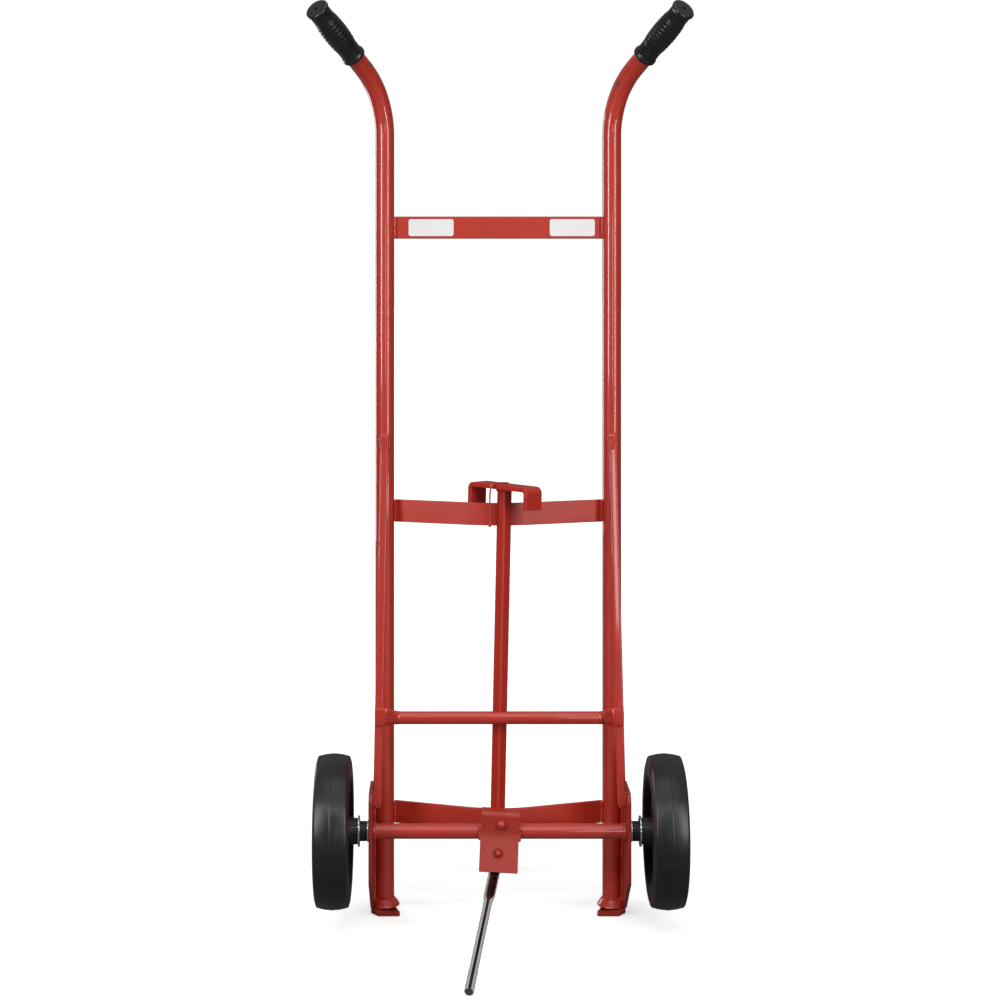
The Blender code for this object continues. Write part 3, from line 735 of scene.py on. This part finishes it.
# %% Spin the wheel centres
HUB_IN = 0.0405
HUB_OUT = 0.0150
centre_profile = [(0.0110, HUB_OUT), (0.0190, HUB_OUT), (0.0199, HUB_OUT - 0.0006)]
centre_profile.append((0.0203, HUB_OUT - 0.0018))
centre_profile += [(0.0212, 0.0070), (0.0225, 0.0052), (0.0250, 0.0046), (0.0560, 0.0034), (0.0600, 0.0040)]
rim_profile = [(0.0640, 0.0090), (0.0680, 0.0150), (0.0700, 0.0165), (0.0730, 0.0174), (0.0784, 0.0175)]
rim_profile.append((0.0786, 0.0170))
centre_profile += rim_profile + [(radius, -height) for radius, height in reversed(rim_profile)]
centre_profile += [(0.0600, -0.0040), (0.0560, -0.0034), (0.0380, -0.0046), (0.0330, -0.0056)]
centre_profile += [(0.0282, -0.0082), (0.0252, -0.0112), (0.0234, -0.0150), (0.0224, -0.0220)]
centre_profile += [(0.0215, -HUB_IN + 0.0014), (0.0210, -HUB_IN + 0.0004), (0.0200, -HUB_IN)]
centre_profile.append((0.0110, -HUB_IN))
bush_profile = [(0.00812, HUB_OUT), (0.0107, HUB_OUT), (0.0107, -HUB_IN), (0.00812, -HUB_IN)]
inserts = (("moulded centre", centre_profile, black_plastic, "_wheel"),
           ("steel bush", bush_profile, zinc, "_wheel_bush"))
for side, word in SIDES:
    for name, profile, material, node in inserts:
        add_turned(f"{word} {name}", profile, 96, across_at(side * wheel_x, side), word + "_wheel",
                   material, [word + node])

# %% [markdown]
# ## Chime hook
# The hook is flat bar bent into an upside-down U and welded on top of a small square tube. Lifted, turned
# to face the drum and dropped, it catches the drum's rim. The U is an outline with arcs at its bends,
# extruded to the width of the bar.

# %% Bend the hook
HOOK_TURN = math.radians(45.0)
HOOK_LEAN = math.radians(1.23)
HOOK_X = -0.0030
HOOK_FOOT = 0.1770
HOOK_TOP = 0.7410
HOOK_DROP = 0.0380
HOOK_L = 0.1360
HOOK_T = 0.0079
HOOK_W = 0.0380
HOOK_R = 0.0110
HOOK_IN_R = 0.0032


def leaning(x, z, angle):
    """The turn about Y, through a point, by which a straight build leans."""
    spot = Vector((x, 0, z))
    return Matrix.Translation(spot) @ Matrix.Rotation(angle, 4, "Y") @ Matrix.Translation(-spot)


hook_lean = leaning(HOOK_X, HOOK_FOOT, HOOK_LEAN)
hang = hook_lean @ Matrix.Translation((HOOK_X, hook_y, HOOK_TOP))


def arc(cx, cz, radius, start, end, steps=8):
    turns = [math.radians(start + (end - start) * step / steps) for step in range(steps + 1)]
    return [(cx + radius * math.cos(turn), cz + radius * math.sin(turn)) for turn in turns]


outer = HOOK_L / 2
inner = outer - HOOK_T
outline = [(outer, -HOOK_DROP)] + arc(outer - HOOK_R, -HOOK_R, HOOK_R, 0, 90)
outline += arc(HOOK_R - outer, -HOOK_R, HOOK_R, 90, 180) + [(-outer, -HOOK_DROP), (-inner, -HOOK_DROP)]
outline += arc(HOOK_IN_R - inner, -HOOK_T - HOOK_IN_R, HOOK_IN_R, 180, 90)
outline += arc(inner - HOOK_IN_R, -HOOK_T - HOOK_IN_R, HOOK_IN_R, 90, 0) + [(inner, -HOOK_DROP)]
bm = bmesh.new()
cut_plate(bm, outline, HOOK_W)
soften(bm, 0.0012, 3, 60)
hook_turn = Matrix.Rotation(HOOK_TURN - math.pi / 2, 4, "Z") @ Matrix.Rotation(math.pi / 2, 4, "X")
bmesh.ops.transform(bm, matrix=hang @ hook_turn, verts=bm.verts)
add_piece("bent chime hook", bm, "hook_bar", bar_paint, ["chime_hook"])

# %% Draw the square tube
TUBE_HALF = 0.0095
corners = [(TUBE_HALF, TUBE_HALF), (-TUBE_HALF, TUBE_HALF), (-TUBE_HALF, -TUBE_HALF), (TUBE_HALF, -TUBE_HALF)]
under = HOOK_TOP - HOOK_T
tube_low = HOOK_FOOT + 0.0120
tube_high = under - GAP
bm = bmesh.new()
cut_plate(bm, rounded(corners, 0.0038, 6), tube_high - tube_low)
middle = hook_lean @ Matrix.Translation((HOOK_X, hook_y, (tube_high + tube_low) / 2))
bmesh.ops.transform(bm, matrix=middle @ Matrix.Rotation(HOOK_TURN, 4, "Z"), verts=bm.verts)
add_piece("square centre tube", bm, "hook_bar", bar_paint, ["centre_bar"])
shoe_place = hook_lean @ Matrix.Translation((HOOK_X, hook_y, HOOK_FOOT + 0.0059))
add_turned("moulded bar shoe", ring_profile(0.0020, 0.0085, 0.0058, 0.0008), 40, shoe_place, "hook_slider",
           black_plastic, ["bar_shoe"])

# %% Loop the painted wire
WIRE_R = 0.0014
WIRE_SIDE = Vector((1, 0.3, 0))
knots = [(0.0060, 0.0060, 0.0016), (-0.0040, -0.0040, 0.0027), (-0.0130, -0.0105, 0.0026)]
knots += [(-0.0200, -0.0152, 0.0016), (-0.0228, -0.0171, -0.0006), (-0.0240, -0.0175, -0.0052)]
knots += [(-0.0248, -0.0175, -0.0180), (-0.0248, -0.0175, -0.0340), (-0.0238, -0.0175, -0.0520)]
knots.append((-0.0236, -0.0175, -0.0630))
frames = []
for index, knot in enumerate(knots):
    before = Vector(knots[max(index - 1, 0)])
    after = Vector(knots[min(index + 1, len(knots) - 1)])
    frames.append(hang @ frame_at(Vector(knot), after - before, WIRE_R, WIRE_R, WIRE_SIDE))
add_swept("painted hanging wire", frames, 14, "hook_bar", red_paint, ["hanger_wire"], sharp=60)
drop = ((-0.0622, 0.0015), (-0.0640, 0.0020), (-0.0665, 0.0025), (-0.0690, 0.0023), (-0.0710, 0.0010))
frames = []
for depth, radius in drop:
    spot = Vector((-0.0240, -0.0170, depth))
    frames.append(hang @ frame_at(spot, (0, 0, -1), radius, radius, WIRE_SIDE))
add_swept("paint drop on the wire", frames, 14, "hook_bar", lit_drop_paint, sharp=60)

# %% [markdown]
# ## Stand bracket
# The bracket is a steel blank that is pierced first and folded afterwards. The same order works here: a
# rectangle with a round hole is filled, sliced across where it folds, rolled over its bends, and only then
# given its thickness.

# %% Pierce and fold the bracket
BRACKET_T = 0.0060
TILT = math.radians(25.0)
FOLD_Z = 0.1600
half_w = 0.0320
bracket_lean = leaning(0, axle_z, math.radians(3.0))
front_y = rail_y - 0.1051
LOWER_L = 0.0585
UPPER_L = 0.0370
LIP_L = 0.0150
LIP_TURN = math.radians(72)
FOLD_HALF = 0.0060
HOLE_X = -0.0015
HOLE_S = -0.0285
HOLE_R = 0.0086
blank = rounded(rectangle(half_w, -LOWER_L, UPPER_L + LIP_L), 0.0020, 3)
turns = [step * math.tau / 48 for step in range(48)]
hole = [(HOLE_X + HOLE_R * math.cos(turn), HOLE_S + HOLE_R * math.sin(turn)) for turn in turns]
bm = bmesh.new()
edges = []
for loop in (blank, hole):
    verts = [bm.verts.new((x, s, 0)) for x, s in loop]
    edges += [bm.edges.new(pair) for pair in zip(verts, verts[1:] + verts[:1])]
bmesh.ops.triangle_fill(bm, use_beauty=True, use_dissolve=False, edges=edges)
slices = [fold_s - FOLD_HALF + 0.0015 * step for fold_s in (0.0, UPPER_L) for step in range(9)]
for s in slices:
    everything = bm.verts[:] + bm.edges[:] + bm.faces[:]
    bmesh.ops.bisect_plane(bm, geom=everything, dist=1e-7, plane_co=(0, s, 0), plane_no=(0, 1, 0))


def folded(s):
    """Walks up the middle of the folded plate and returns its depth and height at the distance s."""
    def angle_at(t):
        low_bend = min(max((t + FOLD_HALF) / (2 * FOLD_HALF), 0.0), 1.0)
        lip_bend = min(max((t - UPPER_L + FOLD_HALF) / (2 * FOLD_HALF), 0.0), 1.0)
        return -TILT * (1 - low_bend) - LIP_TURN * lip_bend
    steps = 60
    y = z = 0.0
    for step in range(steps):
        t = s * (step + 0.5) / steps
        y -= math.sin(angle_at(t)) * s / steps
        z += math.cos(angle_at(t)) * s / steps
    return y, z


for vert in bm.verts:
    y, z = folded(vert.co.y)
    vert.co = Vector((vert.co.x, front_y - BRACKET_T / 2 + y, FOLD_Z + z))
bmesh.ops.recalc_face_normals(bm, faces=bm.faces)
bmesh.ops.solidify(bm, geom=bm.faces[:], thickness=BRACKET_T)
bmesh.ops.transform(bm, matrix=bracket_lean, verts=bm.verts)
bracket = add_piece("folded stand bracket", bm, "frame", shaded_plate_paint, ["stand_bracket"])
print(bracket.name, len(bracket.data.polygons), "faces")

# %% Turn the bolt head and the pin
bolt = [(0.0, 0.0048), (0.0024, 0.0046), (0.0048, 0.0037), (0.0068, 0.0022), (0.0078, 0.0008)]
bolt += [(0.0080, 0.0002), (0.0, 0.0002)]
stud = [(0.0, 0.0058), (0.0022, 0.0056), (0.0042, 0.0044), (0.0058, 0.0024), (0.0065, 0.0), (0.0066, -0.0036)]
stud += [(0.0110, -0.0036), (0.0110, -0.0062), (0.0, -0.0062)]
hole_y = front_y - BRACKET_T / 2 + HOLE_S * math.sin(TILT)
hole_z = FOLD_Z + HOLE_S * math.cos(TILT)
turned = (("bracket_bolt", bolt, 0.0, (0.0020, front_y - BRACKET_T - 0.0002, 0.1790)),
          ("bracket_pin", stud, TILT, (HOLE_X, hole_y, hole_z)))
for node, profile, tip_back, spot in turned:
    place = Matrix.Translation(spot) @ Matrix.Rotation(math.pi / 2 - tip_back, 4, "X")
    add_turned(node.replace("_", " ") + " head", profile, 40, bracket_lean @ place, "frame", weld_paint,
               [node], closed=False)

# %% [markdown]
# ## Kick leg
# The kick leg is a plated rod whose upper end is hammered flat and whose foot has a slightly wider sleeve.
# The sweep changes from a wide flat ring to a round one, then steps out to the sleeve.

# %% Hammer out the kick leg
eye_low, eye_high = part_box("leg_eye")
pivot = (eye_low + eye_high) / 2
LEG_ROD = 0.0070
SLEEVE_R = 0.0077
SLEEVE_EDGE = 0.0074
SLEEVE_L = 0.0500
FLAT_END = 0.0980
FLAT_EDGE = 0.0070
tip = Vector((-0.0540, rail_y - 0.4180, SLEEVE_R))
way = (tip - pivot).normalized()
side_way = (Vector((1, 0, 0)) - way * way.x).normalized()
length = (tip - pivot).length
stations = [(0.0084, 0.0100, 0.0027), (0.0500, 0.0100, 0.0026), (0.0880, 0.0100, 0.0027)]
stations += [(0.0960, 0.0092, 0.0033), (0.1010, 0.0080, 0.0048), (0.1060, 0.0073, 0.0062)]
stations += [(0.1110, LEG_ROD, LEG_ROD), (0.2500, LEG_ROD, LEG_ROD)]
rim = length - SLEEVE_L
stations += [(rim - 0.0002, LEG_ROD, LEG_ROD), (rim, SLEEVE_EDGE, SLEEVE_EDGE)]
stations += [(rim + 0.0006, SLEEVE_R, SLEEVE_R), (rim + 0.0030, SLEEVE_R, SLEEVE_R)]
stations += [(rim + 0.0036, SLEEVE_EDGE, SLEEVE_EDGE), (length - 0.0012, SLEEVE_EDGE, SLEEVE_EDGE)]
stations += [(length, 0.0066, 0.0066)]
frames = [frame_at(pivot + way * far, way, wide, deep, side_way) for far, wide, deep in stations]
bm = bmesh.new()
sweep(bm, frames, 40)
for vert in bm.verts:
    flat_part = (vert.co - pivot).dot(way) < FLAT_END
    out = (vert.co - pivot).dot(side_way)
    if flat_part and abs(out) > FLAT_EDGE:
        vert.co -= side_way * (abs(out) - FLAT_EDGE) * 0.15 * (1 if out > 0 else -1)
add_piece("hammered kick leg", bm, "kick_leg", bright_plate, ["kick_leg"], sharp=50)
eye_place = Matrix.Translation(pivot) @ Matrix.Rotation(math.pi / 2, 4, "Y")
add_turned("rolled leg eye", ring_profile(0.0041, 0.0080, 0.0100, 0.0008), 48, eye_place, "kick_leg",
           bright_plate, ["leg_eye"])

# %% Bend the staple
STAPLE_R = 0.0040
BEND_NEAR = 0.0018
BEND_FAR = 0.0060
staple_low, staple_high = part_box("leg_staple")
right = staple_high.x - STAPLE_R
left = staple_low.x + STAPLE_R
bend_y = pivot.y - BEND_NEAR
arm_y = pivot.y - BEND_FAR
arms = [(left, staple_low.y, (0, 1, 0)), (left, arm_y, (0, 1, 0)), (left + BEND_NEAR, bend_y, (1, 1, 0))]
arms += [(left + BEND_FAR, pivot.y, (1, 0, 0)), (right - BEND_FAR, pivot.y, (1, 0, 0))]
arms += [(right - BEND_NEAR, bend_y, (1, -1, 0)), (right, arm_y, (0, -1, 0))]
arms.append((right, staple_low.y, (0, -1, 0)))
upward = Vector((0, 0, 1))
frames = [frame_at(Vector((x, y, pivot.z)), along, STAPLE_R, STAPLE_R, upward) for x, y, along in arms]
add_swept("bent leg staple", frames, 24, "frame", red_paint, ["leg_staple"], sharp=60)

# %% [markdown]
# ## Weld beads
# The truck is held together by fillet welds. A weld is a row of overlapping ripples, so the bead is a ring
# swept along the seam whose size swells and shrinks every few millimetres, and tiny balls of spatter lie
# near it.


# %% Run the beads
def bead(bm, points, size, out, seed):
    """A rippled bead through the points, flattened away from the surface it lies on."""
    rng = random.Random(seed)
    line = []
    for start, end in zip(points, points[1:]):
        start, end = Vector(start), Vector(end)
        count = max(2, int((end - start).length / 0.0009))
        line += [start.lerp(end, step / count) for step in range(count)]
    line.append(Vector(points[-1]))
    frames = []
    for index, point in enumerate(line):
        way_on = line[min(index + 1, len(line) - 1)] - line[max(index - 1, 0)]
        ripple = 0.84 + 0.16 * abs(math.sin(index * 0.62)) + rng.uniform(-0.04, 0.04)
        ends = min(1.0, 0.45 + 0.28 * min(index, len(line) - 1 - index))
        wander = Vector(out).normalized() * rng.uniform(-0.0002, 0.0002)
        wide = size * ripple * ends
        frames.append(frame_at(point + wander, way_on, wide, size * 0.75 * ripple * ends, Vector(out)))
    sweep(bm, frames, 12)


def spatter(bm, spot, radius):
    bmesh.ops.create_icosphere(bm, subdivisions=1, radius=radius, matrix=Matrix.Translation(spot))


# %% Pile the welds round the rails' feet
SKIRT = ((0.0144, 0.0262), (0.0170, 0.0248), (0.0205, 0.0222), (0.0245, 0.0192), (0.0290, 0.0164))
SKIRT_WIDEST = 0.0250
for side, word in SIDES:
    places = []
    for height, radius in SKIRT:
        spot = Matrix.Translation((side * rail_x, rail_y, height))
        places.append(spot @ Matrix.Diagonal((min(radius, SKIRT_WIDEST), radius, 1, 1)))
    foot = bmesh.new()
    sweep(foot, places, 40)
    rng = random.Random(33)
    for vert in foot.verts:
        vert.co += Vector((rng.uniform(-1, 1), rng.uniform(-1, 1), rng.uniform(-1, 1))) * 0.0005
        vert.co.z = max(vert.co.z, 0.0142)
        vert.co.x = side * min(side * vert.co.x, plate_x - 0.0002)
    add_piece(word + " foot weld", foot, "frame", weld_paint, sharp=80)

# %% Weld the frame
STRUT_WELD_Z = 0.7920
beads = bmesh.new()
for side, word in SIDES:
    join_x = side * (rail_x - RAIL_R)
    x = join_x - side * 0.0006
    back_y = rail_y - BAR_T / 2 - 0.0012
    drum_y = rail_y + 0.0030
    for bar in BARS:
        low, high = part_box(bar + "_crossbar")
        bead(beads, [(x, back_y, low.z + 0.001), (x, back_y, high.z - 0.001)], 0.0040, (-side, -1, 0), 11)
        bead(beads, [(x, drum_y, low.z + 0.002), (x, drum_y, high.z - 0.002)], 0.0028, (-side, 1, 0), 12)
    strut_low, strut_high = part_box(word + "_strut")
    for edge in (-1, 1):
        x = side * rail_x + edge * (STRUT_W / 2 + 0.0002)
        y = strut_high.y - 0.0030
        bead(beads, [(x, y, strut_high.z - 0.002), (x, y, STRUT_WELD_Z)], 0.0026, (edge, -0.4, 0), 13 + edge)
    x = side * rail_x
    y = strut_high.y - 0.004
    z = strut_high.z - 0.0004
    bead(beads, [(x - 0.006, y, z), (x + 0.006, y, z)], 0.0028, (0, 0, 1), 17)
    x = side * (plate_x - 0.0012)
    y = strut_low.y
    z = strut_low.z
    bead(beads, [(x, y, z - 0.001), (x, y + 0.0020, z + 0.024)], 0.0034, (-side, -1, 0), 19)
    x = side * (plate_x - STRUT_W - 0.0006)
    y = strut_low.y + 0.004
    z = strut_low.z - 0.0012
    bead(beads, [(x + side * 0.002, y, z), (x + side * 0.0120, y, z)], 0.0032, (0, -0.4, -1), 21)
    x = side * (plate_x - 0.0008)
    bead(beads, [(x, rail_y - 0.0088, 0.0180), (x, rail_y - 0.0092, 0.2240)], 0.0034, (0, -1, 0), 23)
    bead(beads, [(x, rail_y - 0.0112, 0.0900), (x, rail_y - 0.0112, 0.1380)], 0.0030, (0, -1, 0), 27)
    ring = []
    for step in range(15):
        angle = math.radians(-200 + 220 * step / 14)
        ring.append((side * rail_x + 0.0172 * math.cos(angle), rail_y + 0.0172 * math.sin(angle), 0.0158))
    bead(beads, ring, 0.0042, (0, 0, 1), 29)
    tube_x = side * (plate_x - 0.0022)
    ring = []
    for step in range(13):
        angle = math.radians(30 + 300 * step / 12)
        ring.append((tube_x, axle_y + 0.0132 * math.sin(angle), axle_z + 0.0132 * math.cos(angle)))
    bead(beads, ring, 0.0036, (-side, 0, 0), 31)
    x = side * (half_w + 0.0006)
    seam = [bracket_lean @ Vector((x, front_y - 0.0006, axle_z + rise)) for rise in (-0.013, 0.013)]
    bead(beads, seam, 0.0038, (side, -1, 0), 37)
    y = lap_y + 0.001
    for rise, seed in ((1, 41), (-1, 43)):
        z = tie_z + rise * 0.0140
        bead(beads, [(side * 0.1975, y, z), (side * 0.2070, y, z)], 0.0024, (0, -0.3, rise), seed)
rng = random.Random(7)
for count in range(34):
    side = rng.choice((-1, 1))
    low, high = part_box(rng.choice(BARS) + "_crossbar")
    off = rng.uniform(-0.010, 0.010)
    spot = Vector((side * (rail_x + off), 0, rng.uniform(low.z - 0.02, high.z + 0.02)))
    off = spot.x - side * rail_x
    spot.y = rail_y - math.sqrt(RAIL_R ** 2 - off ** 2)
    spatter(beads, spot, rng.uniform(0.0004, 0.0009))
welds = add_piece("frame weld beads", beads, "frame", weld_paint, sharp=80)
print("beads", len(welds.data.polygons), "faces")

# %% Weld the hook to its tube
hook_beads = bmesh.new()
for turn in (0, 1, 2, 3):
    angle = HOOK_TURN + turn * math.pi / 2
    out = Vector((math.cos(angle), math.sin(angle), 0))
    along = Vector((-out.y, out.x, 0))
    middle = Vector((HOOK_X, hook_y, under - 0.0014)) + out * 0.0104
    ends = [middle - along * 0.0085, middle + along * 0.0085]
    bead(hook_beads, ends, 0.0032, out + Vector((0, 0, -1)), 51 + turn)
rng = random.Random(9)
angle = HOOK_TURN - math.pi / 2
out = Vector((math.cos(angle), math.sin(angle), 0))
along = Vector((-out.y, out.x, 0))
for count in range(5):
    spot = Vector((HOOK_X, hook_y, rng.uniform(0.60, 0.66))) + out * 0.0094
    spot += along * rng.uniform(-0.004, 0.004)
    spatter(hook_beads, spot, rng.uniform(0.0005, 0.0009))
bmesh.ops.transform(hook_beads, matrix=hook_lean, verts=hook_beads.verts)
add_piece("hook weld beads", hook_beads, "hook_bar", weld_paint, sharp=80)

# %% [markdown]
# ## Floor, light and camera
# A pale seamless floor and large soft lamps give the even light of a studio. The camera stands level, a
# little left of the middle, and a vertical shift frames the truck so that the rails stay parallel.

# %% Lay the floor
FLOOR_HALF = 60.0
bm = bmesh.new()
bmesh.ops.create_grid(bm, x_segments=2, y_segments=2, size=FLOOR_HALF)
floor_mesh = bpy.data.meshes.new("studio floor")
bm.to_mesh(floor_mesh)
bm.free()
floor = bpy.data.objects.new("studio floor", floor_mesh)
bpy.context.scene.collection.objects.link(floor)
floor_paint = bpy.data.materials.new("pale floor")
floor_paint.use_nodes = True
floor_tree = floor_paint.node_tree
floor_shader = floor_tree.nodes["Principled BSDF"]
floor_shader.inputs["Roughness"].default_value = 0.9
floor_shader.inputs["Specular IOR Level"].default_value = 0.1
floor_shader.inputs["Emission Color"].default_value = (1.0, 1.0, 1.0, 1)
away = floor_tree.nodes.new("ShaderNodeVectorMath")
away.operation = "LENGTH"
floor_tree.links.new(object_point(floor_tree), away.inputs[0])
glow = remap(floor_tree, away.outputs["Value"], 0.6, 4.0, 0.55, 1.0)
camera_ray = floor_tree.nodes.new("ShaderNodeLightPath").outputs["Is Camera Ray"]
floor_colour = blend_colours(floor_tree, camera_ray, (0.20, 0.20, 0.20), (0.90, 0.90, 0.90))
floor_tree.links.new(floor_colour, floor_shader.inputs["Base Color"])
seen_glow = combine(floor_tree, "MULTIPLY", glow, camera_ray)
floor_tree.links.new(seen_glow, floor_shader.inputs["Emission Strength"])
floor.data.materials.append(floor_paint)


# %% Hang the lamps
def lamp(name, place, target, size, power):
    light = bpy.data.lights.new(name, "AREA")
    light.shape = "RECTANGLE"
    light.size = size[0]
    light.size_y = size[1]
    light.energy = power
    holder = bpy.data.objects.new(name, light)
    holder.location = place
    holder.rotation_euler = (Vector(target) - Vector(place)).to_track_quat("-Z", "Y").to_euler()
    bpy.context.scene.collection.objects.link(holder)


lamp("top", (0, -0.4, 3.6), (0, 0, 0), (2.4, 1.6), 13)
lamp("left box", (-1.95, -2.0, 1.66), (0, 0.1, 1.2), (0.52, 1.84), 40)
lamp("right box", (1.95, -2.3, 1.38), (0, 0.1, 1.0), (0.40, 2.2), 38)
lamp("long strip", (0, -2.5, 2.9), (0, 0, 0.3), (3.6, 0.14), 24)
lamp("near box", (0.50, -3.55, 1.0), (0.2, 0, 0.9), (0.3, 0.6), 3.6)
lamp("left rim", (-1.9, 2.0, 1.0), (0, -0.1, 0.1), (0.5, 1.5), 16)
world = bpy.data.worlds.new("studio")
world.use_nodes = True
sky_tree = world.node_tree
sky = sky_tree.nodes["Background"]
sky.inputs["Color"].default_value = (1.0, 1.0, 1.0, 1)
ray = sky_tree.nodes.new("ShaderNodeLightPath")
split = sky_tree.nodes.new("ShaderNodeSeparateXYZ")
sky_tree.links.new(sky_tree.nodes.new("ShaderNodeTexCoord").outputs["Generated"], split.inputs["Vector"])
dome = remap(sky_tree, split.outputs["Z"], 0.0, 0.80, 0.06, 0.34)
seen = combine(sky_tree, "MAXIMUM", dome, ray.outputs["Is Camera Ray"])
sky_tree.links.new(seen, sky.inputs["Strength"])
bpy.context.scene.world = world
bpy.context.scene.view_settings.view_transform = "Standard"

# %% Set the camera
lens = bpy.data.cameras.new("camera")
lens.sensor_width = 36.0
lens.lens = 75.7
lens.shift_x = 0.0496
lens.shift_y = -0.230
camera = bpy.data.objects.new("camera", lens)
camera.location = (-0.082, rail_y - 3.600, 1.100)
camera.rotation_euler = (math.pi / 2, 0, 0)
bpy.context.scene.collection.objects.link(camera)
bpy.context.scene.camera = camera
